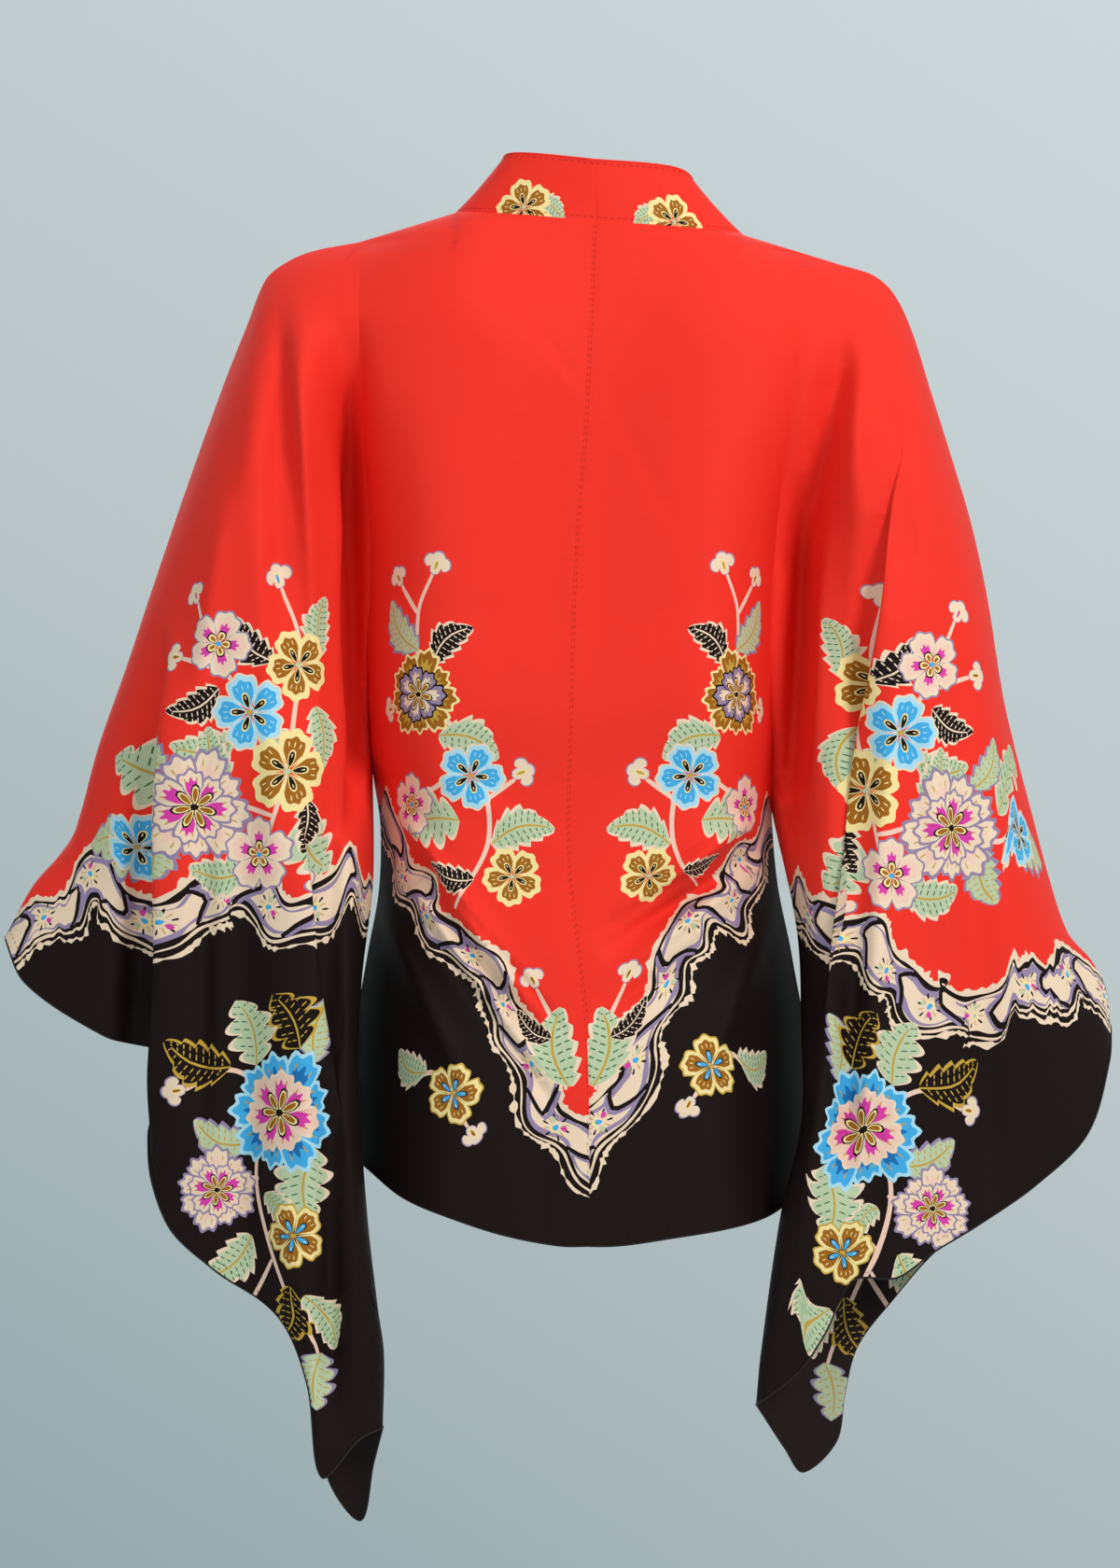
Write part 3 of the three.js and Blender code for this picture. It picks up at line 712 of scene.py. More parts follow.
def read_at(tree, nodes, triangles, values, points):
    """Values of a flat mesh's nodes at points on it, and which points lie on it."""
    found = np.empty((len(points), values.shape[1]))
    inside = np.ones(len(points), bool)
    for k, (a, b) in enumerate(points.tolist()):
        hit, _, index, _ = tree.ray_cast(Vector((a, b, 1)), DOWN)
        if hit is None:
            inside[k] = False
            hit, _, index, _ = tree.find_nearest(Vector((a, b, 0)))
        p0, p1, p2 = nodes[triangles[index]]
        e1, e2, d = p1 - p0, p2 - p0, np.array((hit.x, hit.y)) - p0
        area = crossed(e1, e2)
        if abs(area) < TINY:
            area = TINY
        s, t = crossed(d, e2) / area, crossed(e1, d) / area
        q = values[triangles[index]]
        found[k] = q[0] + s * (q[1] - q[0]) + t * (q[2] - q[0])
    return found, inside


class Cloth:
    """One cut piece: its sheet in space, and the same sheet laid flat for its print."""

    def __init__(self, name, sheet, edges, across, down, flat, faces_back, step):
        self.node, self.name, self.sheet, self.step = name, name + "_silk", sheet, step
        self.fine = np.zeros((0, 2))
        self.u, self.v = across, down
        grid_u, grid_v = np.meshgrid(across, down, indexing="ij")
        self.params = np.stack([grid_u, grid_v], axis=-1).reshape(-1, 2)
        plain = sheet(grid_u, grid_v)
        self.flat = flat(plain) if callable(flat) else flat
        self.nodes, self.seen = self.flat.reshape(-1, 2), plain.reshape(-1, 3)[:, ::2]
        self.triangles = grid_triangles(len(across), len(down))
        self.tree = flat_tree(self.nodes, self.triangles)
        self.rim = np.concatenate([
            np.stack(edge(spaced(lambda t, e=edge: sheet(*e(t)), step)), axis=-1)[:-1]
            for edge in edges
        ])
        middle = (np.array([across[len(across) // 2]]), np.array([down[len(down) // 2]]))
        self.side = 1.0
        normal = self.normals(*middle)[0]
        if (normal[1] > 0) != faces_back:
            self.side = -1.0

    def lay(self, params):
        """Where points given by their shares lie on the flat sheet."""
        i = np.clip(np.searchsorted(self.u, params[:, 0]) - 1, 0, len(self.u) - 2)
        j = np.clip(np.searchsorted(self.v, params[:, 1]) - 1, 0, len(self.v) - 2)
        a = clamp((params[:, 0] - self.u[i]) / (self.u[i + 1] - self.u[i]))[:, None]
        b = clamp((params[:, 1] - self.v[j]) / (self.v[j + 1] - self.v[j]))[:, None]
        return between(self.flat, i, j, a, b)

    def find(self, points):
        """The shares of points on the flat sheet."""
        shares, _ = read_at(self.tree, self.nodes, self.triangles, self.params, points)
        return np.clip(shares, (self.u[0], self.v[0]), (self.u[-1], self.v[-1]))

    def refine(self, seen):
        """Adds points to the flat sheet, given by where they show on the hanging one."""
        tree = flat_tree(self.seen, self.triangles)
        flat, inside = read_at(tree, self.seen, self.triangles, self.nodes, seen)
        self.fine = flat[inside]

    def normals(self, u, v):
        du = (self.u[-1] - self.u[0]) * NORMAL_REACH
        dv = (self.v[-1] - self.v[0]) * NORMAL_REACH
        lo_u, hi_u = np.maximum(u - du, self.u[0]), np.minimum(u + du, self.u[-1])
        lo_v, hi_v = np.maximum(v - dv, self.v[0]), np.minimum(v + dv, self.v[-1])
        normal = np.cross(
            self.sheet(hi_u, v) - self.sheet(lo_u, v), self.sheet(u, hi_v) - self.sheet(u, lo_v)
        )
        size = np.linalg.norm(normal, axis=-1, keepdims=True)
        return self.side * normal / np.maximum(size, TINY)

    def lattice(self):
        """Points inside the flat sheet, a step apart and clear of its rim."""
        rim = self.lay(self.rim)
        (u0, v0), (u1, v1) = rim.min(0), rim.max(0)
        row = self.step * math.sqrt(3) / 2
        points = np.array([
            (u, v)
            for k, v in enumerate(np.arange(v0 + row, v1, row))
            for u in np.arange(u0 + self.step * (0.5 + k % 2 / 2), u1, self.step)
        ])
        inside = np.array([
            self.tree.ray_cast(Vector((a, b, 1)), DOWN)[0] is not None for a, b in points.tolist()
        ])
        points = points[inside]
        if len(self.fine):
            far = KDTree(len(self.fine))
            for k, (a, b) in enumerate(self.fine.tolist()):
                far.insert((a, b, 0), k)
            far.balance()
            clear = [
                far.find((a, b, 0))[2] > LAP_GAP * self.step for a, b in points.tolist()
            ]
            points = np.concatenate([points[clear], self.fine])
        near = np.array([np.min(np.sum((rim - p) ** 2, axis=1)) for p in points])
        return points[near > (RIM_GAP * self.step) ** 2]


def add_object(scene, name, data, place=(0, 0, 0)):
    made = bpy.data.objects.new(name, data)
    made.location = place
    scene.collection.objects.link(made)
    return made


def turning(loop):
    """Twice the area of a loop, positive where it runs anticlockwise."""
    return np.sum(crossed(loop, np.roll(loop, -1, axis=0)))


def flat_areas(corners):
    """Areas of triangles, given by their corners."""
    return np.abs(crossed(corners[:, 1] - corners[:, 0], corners[:, 2] - corners[:, 0])) / 2


def cut_print(cloth, ground, motifs):
    """Cuts the print into the flat sheet: each motif is an outline with its dye, and later ones lie
    over earlier ones. Gives the flat points, their shares, the triangles and each one's dye."""
    rim = cloth.lay(cloth.rim)
    points = [rim, cloth.lattice()]
    loops = [list(range(len(rim)))]
    (u0, v0), (u1, v1) = rim.min(0), rim.max(0)
    dyes = [ground]
    count = sum(len(p) for p in points)
    for outline, colour in motifs:
        (a0, b0), (a1, b1) = outline.min(0), outline.max(0)
        if a1 < u0 or a0 > u1 or b1 < v0 or b0 > v1:
            continue
        loops.append(list(range(count, count + len(outline))))
        dyes.append(colour)
        points.append(outline)
        count += len(outline)
    flat = np.concatenate(points)
    loops = [loop[::-1] if turning(flat[loop]) < 0 else loop for loop in loops]
    verts, _, faces, origins, _, inside = delaunay_2d_cdt(
        [Vector(p) for p in flat.tolist()], [], loops, 1, CUT_PRECISION, True
    )
    split = [
        (k, (face[0], face[i], face[i + 1]))
        for k, face in enumerate(faces) if 0 in inside[k] for i in range(1, len(face) - 1)
    ]
    keep = [k for k, _ in split]
    tris = np.array([corners for _, corners in split])
    corners = np.array([tuple(v) for v in verts])[tris]
    areas = flat_areas(corners)
    covered = np.zeros(len(loops))
    for k, area in zip(keep, areas):
        covered[inside[k]] += area
    outlined = np.array([abs(turning(flat[loop])) / 2 for loop in loops])
    sound = covered < SPILL * outlined + 1
    sound[0] = True
    owner = np.array([max(f for f in inside[k] if sound[f]) for k in keep])
    used, tris = np.unique(tris, return_inverse=True)
    flat = np.array([tuple(verts[k]) for k in used])
    shares = cloth.find(flat)
    for k, old in enumerate(used):
        for source in origins[old]:
            if source < len(rim):
                shares[k] = cloth.rim[source]
                break
    palette = np.array([linear(c) + (1.0,) for c in dyes])
    return flat, shares, tris.reshape(-1, 3), palette[owner]


def make_cloth(cloth, ground, motifs, thickness, materials):
    """The shell of a piece: its outer and inner faces and the strip between them."""
    flat, shares, tris, colour = cut_print(cloth, ground, motifs)
    outer = cloth.sheet(shares[:, 0], shares[:, 1])
    normals = cloth.normals(shares[:, 0], shares[:, 1])
    spans = np.cross(outer[tris[:, 1]] - outer[tris[:, 0]], outer[tris[:, 2]] - outer[tris[:, 0]])
    facing = np.einsum("ij,ij->i", spans, normals[tris].sum(1))
    if np.median(facing) < 0:
        tris = tris[:, ::-1]
    inner = outer - normals * thickness / MM
    n = len(outer)
    directed = np.concatenate([tris[:, [0, 1]], tris[:, [1, 2]], tris[:, [2, 0]]])
    _, first, uses = np.unique(
        np.sort(directed, axis=1), axis=0, return_index=True, return_counts=True
    )
    open_edges = first[uses == 1]
    beside = colour[open_edges % len(tris)]
    a, b = directed[open_edges].T
    hem = np.concatenate([np.stack([b, a, a + n], axis=1), np.stack([b, a + n, b + n], axis=1)])
    all_tris = np.concatenate([tris, tris[:, ::-1] + n, hem])
    along = np.cross(outer[b] - outer[a], normals[a])
    along /= np.maximum(np.linalg.norm(along, axis=1, keepdims=True), TINY)
    loop_normals = np.concatenate([
        normals[tris].reshape(-1, 3), -normals[tris[:, ::-1]].reshape(-1, 3),
        np.repeat(np.concatenate([along, along]), 3, axis=0),
    ])
    mesh = bpy.data.meshes.new(cloth.name)
    mesh.vertices.add(2 * n)
    mesh.vertices.foreach_set("co", (np.concatenate([outer, inner]) * MM).ravel())
    mesh.loops.add(3 * len(all_tris))
    mesh.loops.foreach_set("vertex_index", all_tris.ravel().astype(np.int32))
    mesh.polygons.add(len(all_tris))
    mesh.polygons.foreach_set("loop_start", np.arange(0, 3 * len(all_tris), 3, dtype=np.int32))
    index = np.zeros(len(all_tris), np.int32)
    index[len(tris) : 2 * len(tris)] = 1
    mesh.polygons.foreach_set("material_index", index)
    both = np.concatenate([flat, flat])[all_tris.ravel()] * MM
    uv = mesh.uv_layers.new(name="cloth")
    uv.uv.foreach_set("vector", both.ravel().astype(np.float32))
    colour = np.repeat(np.concatenate([colour, colour, beside, beside]), 3, axis=0)
    layer = mesh.color_attributes.new(name="dye", type="FLOAT_COLOR", domain="CORNER")
    layer.data.foreach_set("color", colour.ravel().astype(np.float32))
    mesh.update()
    mesh.validate()
    mesh.polygons.foreach_set("use_smooth", np.ones(len(all_tris), bool))
    mesh.normals_split_custom_set(loop_normals.tolist())
    for material in materials:
        mesh.materials.append(material)
    return add_object(bpy.context.scene, cloth.name, mesh)


# ---- the print: flowers, leaves, stems and the border ------------------------------------------
# Print coordinates are millimetres on the flat cloth: u towards the wearer's left, v down. Each
# drawing is a list of (outline, dye), and later outlines lie over earlier ones.

BORDER, BORDER_STEP = 31.0, 2.0  # width of the border, and distance between its samples
BORDER_LENGTH = 8  # samples in one of the short lengths it is cut in
SPRIG_PITCH = 21  # samples from one sprig on the border to the next
GROUND = 1000, 400  # how far the dark ground reaches down, and past the border's ends
STEM, STEM_ENDS, STEM_STEP = 3.4, 0.6, 3.0

BLOSSOMS = {  # outline, petal rim, petal, stamen rim, stamen, heart
    "ochre": ("straw", "straw", "ochre", "straw", "black", "sage"),
    "sky": ("cream", "mist", "sky", "straw", "black", "gold"),
    "blush": ("lavender", "cream", "blush", "black", "gold", "sky"),
    "night": ("gold", "straw", "ochre", "black", "sky", "gold"),
}
LEAVES = {  # outline, blade, rib, ticks
    "sage": ("cream", "sage", "gold", "green"),
    "pale": ("lavender", "sage", "gold", "gold"),
    "ink": ("cream", "black", "cream", "cream"),
    "line": ("gold", "black", "gold", "gold"),
}


def turned(points, u, v, turn, size):
    """A drawing of unit size about the origin, put in its place."""
    a = math.radians(turn)
    rotate = np.array([[math.cos(a), math.sin(a)], [-math.sin(a), math.cos(a)]])
    return np.asarray(points, float) @ rotate * size + (u, v)


def petal(angle, spread, root, reach, lobes=3, depth=0.05, count=17):
    """A rounded petal with a scalloped edge, about the middle of its flower."""
    t = np.linspace(-1, 1, count)
    radius = reach * (1 - 0.34 * np.abs(t) ** 3) * (1 + depth * np.cos(lobes * math.pi * t))
    a = np.radians(angle + spread * t)
    edge = np.stack([radius * np.cos(a), radius * np.sin(a)], axis=1)
    foot = math.radians(angle)
    return np.concatenate([[(root * math.cos(foot), root * math.sin(foot))], edge])


def oval(angle, start, end, width, count=10):
    """A drop that points at the middle of its flower."""
    t = np.linspace(0, 2 * math.pi, count, endpoint=False)
    along = (start + end) / 2 + (end - start) / 2 * np.cos(t)
    across = width * np.sin(t) * (0.75 + 0.25 * np.cos(t))
    a = math.radians(angle)
    return np.stack([
        along * math.cos(a) - across * math.sin(a), along * math.sin(a) + across * math.cos(a)
    ], axis=1)


def ribbon(points, width, ends=0.5, step=4.0):
    """A stroke along a smooth line; ends is the share of its width that is left at the ends."""
    points = np.array(points, float)
    length = strides(points).sum()
    t = np.linspace(0, 1, max(3, int(length / step) + 1))
    middle = np.stack(line(points)(t), axis=1)
    way = np.gradient(middle, axis=0)
    way /= np.maximum(np.linalg.norm(way, axis=1, keepdims=True), TINY)
    half = width / 2 * mix(ends, 1, np.sin(np.pi * t) ** 0.5)[:, None]
    side = np.stack([-way[:, 1], way[:, 0]], axis=1) * half
    return np.concatenate([middle + side, (middle - side)[::-1]])


def blossom(u, v, size, turn, kind):
    """A plain flower of five petals."""
    outline, inner, fill, stamen_rim, stamen, heart = BLOSSOMS[kind]
    art = []
    angles = [turn + 72 * k for k in range(5)]
    for reach, spread, dye_name in ((1.06, 38, outline), (1.0, 36, inner), (0.86, 29, fill)):
        art += [(petal(a, spread, 0.05, reach, 3, 0.045), dye_name) for a in angles]
    for a in angles:
        for off in (-13, 0, 13):
            art.append((oval(a + off, 0.6, 0.76, 0.022, 6), inner))
    if kind == "blush":
        art += [(petal(a, 20, 0.1, 0.62, 3, 0.1), "magenta") for a in angles]
        art += [(petal(a, 30, 0.02, 0.42, 1, 0.0, 9), "black") for a in angles]
        art += [(petal(a, 26, 0.02, 0.37, 1, 0.0, 9), "straw") for a in angles]
        art += [(oval(a, 0.1, 0.32, 0.07, 8), "ochre") for a in angles]
    else:
        art += [(oval(a, 0.1, 0.56, 0.13), stamen_rim) for a in angles]
        art += [(oval(a, 0.12, 0.51, 0.095), stamen) for a in angles]
        art += [(oval(a, 0.34, 0.46, 0.02, 6), "straw") for a in angles]
    art.append((oval(0, -0.1, 0.1, 0.1, 9), heart))
    return [(turned(p, u, v, 0, size), d) for p, d in art]


def peony(u, v, size, turn, kind):
    """A full flower: rings of petals round a lotus heart."""
    rings = {
        "blush": (("lavender", "cream", "blush"), ("lavender", "cream", "magenta")),
        "azure": (("mist", "sky", "deep"), ("cream", "blush", "magenta")),
        "dusk": (("straw", "ochre", "gold"), ("black", "lavender", "cream")),
    }[kind]
    art = []
    for ring, (petals, reach, spread) in enumerate(((9, 1.0, 25), (7, 0.68, 31))):
        outline, inner, fill = rings[ring]
        for k in range(petals):
            a = turn + 360 / petals * k + 11 * ring
            far = reach * (1 + 0.09 * math.sin(2.3 * k + ring))
            art += [
                (petal(a, spread, 0.05, far, 3, 0.06), outline),
                (petal(a, spread * 0.88, 0.08, far * 0.93, 3, 0.06), inner),
                (petal(a, spread * 0.6, 0.1, far * 0.74, 3, 0.09), fill),
            ]
            for off in (-0.4, 0.4):
                art.append((oval(a + off * spread, far * 0.66, far * 0.8, 0.018, 6), "gold"))
    for k in range(7):
        a = turn + 360 / 7 * k
        art += [
            (oval(a, 0.02, 0.42, 0.105), "black"), (oval(a, 0.04, 0.38, 0.08), "straw"),
            (oval(a, 0.08, 0.34, 0.055), "ochre"),
        ]
    art.append((oval(0, -0.08, 0.08, 0.08, 8), "black"))
    return [(turned(p, u, v, 0, size), d) for p, d in art]


def bud(u, v, size, turn, kind):
    """A small closed flower of three petals."""
    art = []
    for reach, dye_name in ((1.07, "lavender"), (0.97, "cream")):
        art += [(petal(a, 44, 0.25, reach, 1, 0.04, 11), dye_name) for a in (-62, 0, 62)]
        art.append((oval(180, -0.6, 0.55 * reach, 0.5 * reach), dye_name))
    art.append((oval(0, -0.35, 0.5, 0.24), "straw"))
    art.append((oval(0, -0.26, 0.38, 0.14), kind))
    return [(turned(p, u, v, turn, size), d) for p, d in art]


def leaf(u, v, size, turn, kind, lobes=5, broad=0.27, bend=0.16, cut=0.34, rounded=False):
    """A toothed leaf from its foot at (u, v) towards its tip, or one with rounded lobes."""
    outline, blade, rib, tick = LEAVES[kind]
    t = np.linspace(0, 1, 8 * lobes + 1)
    tooth = (t * lobes) % 1
    rise = np.sin(math.pi * tooth) ** 0.7 if rounded else tooth**0.8
    half = broad * np.sin(math.pi * t**0.85) ** 0.8 * (1.12 - cut + cut * rise)
    half[0] = half[-1] = 0
    spine = np.stack([t, bend * np.sin(math.pi * t)], axis=1)

    def shape(grow):
        reach = np.stack([0 * t, half * grow + (grow - 1) * 0.12], axis=1)
        return np.concatenate([spine + reach, (spine - reach)[-2:0:-1]])

    art = [(shape(1.16), outline), (shape(1.0), blade)]
    for k in range(1, 2 * lobes):
        s = k / (2 * lobes)
        foot = np.array([s, bend * math.sin(math.pi * s)])
        reach = broad * math.sin(math.pi * s**0.85) ** 0.8
        for way in (1, -1):
            for near, far in ((0.2, 0.48), (0.6, 0.86)):
                a = foot + (0.35 * reach * near, way * reach * near)
                b = foot + (0.35 * reach * far, way * reach * far)
                art.append((ribbon([a, b], 0.021, 0.6, 9), tick))
    art.append((ribbon(spine[:-3:4], 0.034, 0.6, 0.15), rib))
    return [(turned(p, u, v, turn, size), d) for p, d in art]


def oak(u, v, size, turn, kind):
    return leaf(u, v, size, turn, kind, 4, 0.36, -0.12, 0.56, True)


DRAW = {"blossom": blossom, "peony": peony, "bud": bud, "leaf": leaf, "oak": oak}


def uneven(count, seed, size, reach=3):
    """Hand-drawn unevenness: random values with a fixed seed, smoothed over their neighbours."""
    values = np.random.default_rng(seed).normal(size=count + 2 * reach)
    kernel = np.hanning(2 * reach + 1)
    return size * np.convolve(values, kernel / kernel.sum(), "valid")


def border(path, seed):
    """A meandering band: cream with ragged edges, ink lines, lavender shade and small sprigs."""
    path = np.array(path, float)
    length = strides(path).sum()
    t = np.linspace(0, 1, int(length / BORDER_STEP))
    middle = np.stack(line(path)(t), axis=1)
    way = np.gradient(middle, axis=0)
    way /= np.linalg.norm(way, axis=1, keepdims=True)
    side = np.stack([way[:, 1], -way[:, 0]], axis=1)
    side[side[:, 1] > 0] *= -1
    s = t * length
    rng = np.random.default_rng(seed)
    phase = rng.uniform(0, 6, 4)
    sway = 5.5 * np.sin(s / 11.5 + phase[0]) + 3.5 * np.sin(s / 6.3 + phase[1])
    top = BORDER / 2 + sway + 2.5 * np.sin(s / 8.7 + phase[2])
    low = -BORDER / 2 + 0.55 * sway + 3.0 * np.sin(s / 7.9 + phase[3])
    rag = np.abs(uneven(len(t), seed + 1, 1.9, 1))

    def band(upper, lower, dye_name):
        """In short lengths, and in triangles where a length would cross itself."""
        up, down = middle + side * upper[:, None], middle + side * lower[:, None]
        corner = np.stack([up[:-1], up[1:], down[1:], down[:-1]])
        ahead = np.roll(corner, -1, axis=0) - corner
        after = np.roll(ahead, -1, axis=0)
        whole = np.abs(np.sign(crossed(ahead, after)).sum(0)) == 4
        lengths, start = [], None
        for k, good in enumerate(list(whole) + [False]):
            if good and start is None:
                start = k
            if start is not None and (not good or k - start == BORDER_LENGTH):
                end = k + good
                loop = np.concatenate([up[start : end + 1], down[start : end + 1][::-1]])
                lengths.append((loop, dye_name))
                start = None
            if not good and k < len(whole):
                for part in (corner[[0, 1, 2], k], corner[[0, 2, 3], k]):
                    if abs(turning(part)) > 1:
                        lengths.append((part, dye_name))
        return lengths

    def stroke(level, thick, dye_name):
        thick = np.maximum(0.35, thick + uneven(len(t), seed + 2, 0.6))
        return band(level + thick, level - thick, dye_name)

    art = band(top + rag + 2.4, low - rag - 5.5 - 1.5 * np.sin(s / 9), "cream")
    art += band(low - 1.5, low - 5.2 - 1.5 * np.sin(s / 9) + 0.6 * rag, "black")
    art += stroke(top - 6.2 - 1.2 * np.sin(s / 5), 1.7 + 0.9 * np.sin(s / 17), "lavender")
    art += stroke(low + 5.6 + 1.2 * np.sin(s / 6), 1.7 + 0.9 * np.sin(s / 13 + 1), "lavender")
    art += stroke(top - 2.2, 1.75 + 0.5 * np.sin(s / 15), "black")
    art += stroke(low + 1.8, 1.55 + 0.5 * np.sin(s / 12), "black")
    for k in np.arange(18, len(t) - 12, SPRIG_PITCH):
        across = np.linspace(0, 1, 9)
        i = (k + 4.5 * np.sin(across * math.pi * 1.3)).astype(int)
        level = mix(top[i] - 3, low[i] + 3, across)
        shade = middle[i] + side[i] * level[:, None] + way[i] * 3.2
        art.append((ribbon(shade, 3.4, 0.6), "lavender"))
        art.append((ribbon(middle[i] + side[i] * level[:, None], 3.2, 0.8), "black"))
        j = min(k + 10, len(t) - 1)
        spot = middle[j] + side[j] * (top[j] + low[j]) / 2
        turn = float(rng.uniform(0, 360))
        sprig = [
            piece for a in np.arange(6) * 60 + turn for piece in (
                (oval(a, 0.5, 0.98, 0.1, 6), 10, "black"),
                (oval(a + 30, 0.3, 0.9, 0.05, 6), 10, "gold"),
            )
        ]
        sprig += [
            (petal(turn, 60, 0, 0.5, 2, 0.1, 9), 9.5, "straw"),
            (oval(turn, -0.25, 0.3, 0.24, 8), 9.5, "sky"),
            (oval(turn + 130, 0.3, 0.8, 0.24, 8), 9.5, "magenta"),
            (oval(turn + 250, 0.3, 0.8, 0.2, 8), 9.5, "sage"),
        ]
        art += [(turned(shape, *spot, 0, size), dye_name) for shape, size, dye_name in sprig]
    return art


def below(path):
    """The ground under a border."""
    bottom, margin = GROUND
    path = np.array(path, float)
    t = np.linspace(0, 1, 90)
    edge = np.stack(line(path)(t), axis=1)
    first, last = edge[0], edge[-1]
    away = margin * np.sign(last[0] - first[0])
    return np.concatenate([
        [(first[0] - away, first[1])], edge, [(last[0] + away, last[1]), (last[0] + away, bottom)],
        [(first[0] - away, bottom)],
    ])


# Each side's layout: what, u away from the centre, v down, size, turn, kind.
BACK_BORDER = [(182, 408), (160, 428), (141, 452), (119, 478), (92, 496), (66, 521), (46, 556),
               (32, 589), (14, 611), (-6, 634), (-30, 655)]
BACK_STEMS = [
    [(88, 470), (62, 420), (74, 360), (108, 318), (112, 268), (100, 240)],
    [(74, 360), (96, 384), (124, 396)], [(62, 420), (46, 440)], [(112, 268), (128, 248)],
    [(66, 396), (44, 380)], [(10, 590), (14, 556), (30, 522)], [(108, 318), (140, 330)],
    [(86, 604), (108, 592), (128, 600)], [(96, 596), (76, 626)],
]
BACK_ART = [
    ("leaf", 112, 292, 44, -50, "pale"), ("leaf", 100, 300, 36, -140, "ink"),
    ("leaf", 96, 350, 44, 158, "sage"), ("oak", 82, 408, 46, 14, "sage"),
    ("leaf", 60, 424, 44, -166, "sage"), ("leaf", 72, 448, 34, -14, "ink"),
    ("leaf", 8, 588, 54, -84, "sage"), ("leaf", 20, 556, 30, -34, "ink"),
    ("bud", 98, 236, 10, -110, "gold"), ("bud", 131, 244, 9, -60, "ochre"),
    ("bud", 41, 376, 10, -160, "gold"), ("bud", 144, 332, 9, 10, "ochre"),
    ("bud", 32, 517, 9, -60, "ochre"), ("peony", 112, 322, 29, 12, "dusk"),
    ("blossom", 74, 378, 22, 30, "sky"), ("blossom", 124, 400, 21, 50, "blush"),
    ("blossom", 46, 446, 19, 10, "ochre"), ("blossom", 88, 604, 20, 40, "night"),
    ("leaf", 112, 592, 38, -24, "sage"), ("bud", 73, 630, 9, 120, "ochre"),
]
FRONT_BORDER = [(190, 408), (160, 432), (130, 462), (104, 500), (84, 540), (62, 570), (30, 590)]
FRONT_ART = [
    ("blossom", 118, 262, 22, 40, "sky"), ("bud", 92, 250, 9, 170, "gold"),
    ("leaf", 116, 292, 38, 80, "ink"), ("peony", 100, 410, 29, 50, "dusk"),
    ("leaf", 122, 400, 42, -60, "sage"), ("blossom", 132, 566, 20, 10, "night"),
]
SLEEVE_BORDER = {
    "left": [(450, 505), (400, 484), (355, 462), (325, 474), (286, 482), (262, 464),
             (236, 452), (212, 462), (180, 470), (150, 466), (120, 470), (60, 480)],
    "right": [(440, 560), (395, 538), (362, 524), (330, 540), (300, 548), (270, 532),
              (240, 538), (214, 512), (190, 498), (168, 484), (140, 480), (60, 480)],
}
SLEEVE_STEMS = [
    [(212, 436), (198, 388), (190, 336), (184, 290), (196, 248)], [(196, 352), (226, 328)],
    [(226, 328), (248, 290), (264, 258)], [(240, 306), (276, 296)], [(202, 404), (232, 396)],
    [(232, 396), (268, 398), (300, 412), (330, 430)], [(184, 300), (168, 286)],
]
SLEEVE_ART = [
    ("leaf", 244, 318, 38, 24, "ink"), ("leaf", 232, 352, 44, 6, "sage"),
    ("leaf", 174, 330, 46, 96, "sage"), ("leaf", 304, 414, 34, 44, "ink"),
    ("oak", 298, 392, 54, -26, "sage"), ("oak", 318, 440, 46, -8, "pale"),
    ("leaf", 222, 440, 44, -2, "sage"), ("leaf", 286, 412, 42, 74, "pale"),
    ("leaf", 168, 296, 42, -104, "sage"), ("leaf", 236, 376, 36, -64, "sage"),
    ("oak", 184, 404, 48, 128, "sage"), ("leaf", 180, 392, 38, 82, "ink"),
    ("leaf", 206, 300, 40, -48, "ink"), ("leaf", 216, 350, 30, 150, "sage"),
    ("leaf", 278, 372, 40, -58, "pale"), ("bud", 198, 244, 11, -70, "sky"),
    ("bud", 267, 254, 10, -60, "magenta"), ("bud", 280, 295, 10, 0, "ochre"),
    ("blossom", 186, 302, 23, 10, "ochre"), ("blossom", 244, 288, 22, 30, "blush"),
    ("blossom", 222, 334, 25, 0, "sky"), ("blossom", 194, 374, 27, 40, "ochre"),
    ("peony", 260, 398, 38, 10, "blush"), ("blossom", 214, 430, 24, 55, "blush"),
    ("blossom", 324, 426, 22, 35, "sky"), ("bud", 176, 446, 10, 120, "ochre"),
]
SLEEVE_NIGHT_STEMS = [
    [(196, 600), (216, 640), (208, 690), (184, 744), (168, 790)], [(214, 650), (248, 652)],
    [(196, 600), (236, 576), (270, 590)], [(208, 690), (190, 676)], [(204, 706), (222, 734)],
]
SLEEVE_NIGHT = [
    ("leaf", 236, 574, 50, -20, "line"), ("leaf", 222, 628, 44, -24, "pale"),
    ("oak", 166, 628, 50, 84, "sage"), ("leaf", 222, 690, 44, 40, "sage"),
    ("leaf", 186, 724, 46, 62, "line"), ("leaf", 168, 570, 46, -100, "pale"),
    ("oak", 216, 572, 46, -70, "sage"), ("oak", 180, 560, 42, -60, "line"),
    ("leaf", 176, 730, 44, 112, "sage"), ("leaf", 208, 660, 34, 130, "sage"),
    ("oak", 172, 770, 40, 80, "pale"), ("bud", 274, 590, 10, 10, "ochre"),
    ("bud", 225, 738, 10, 50, "gold"), ("peony", 194, 604, 42, 0, "azure"),
    ("peony", 246, 658, 28, 30, "blush"), ("blossom", 182, 688, 22, 5, "night"),
]
BAND_ART = [("leaf", 10, 44, 26, -118, "sage"), ("blossom", 5, 50, 19, 20, "ochre"),
            ("blossom", 2, 230, 20, 5, "sky"), ("leaf", 10, 250, 34, 60, "ink")]
PRINT_SHIFTS = {  # how far each side's motifs lie from their table: on the sleeve, on the band
    "left": ((0, 0), (0, 0)),
    "right": ((-8, 14), (-2, 5)),
}
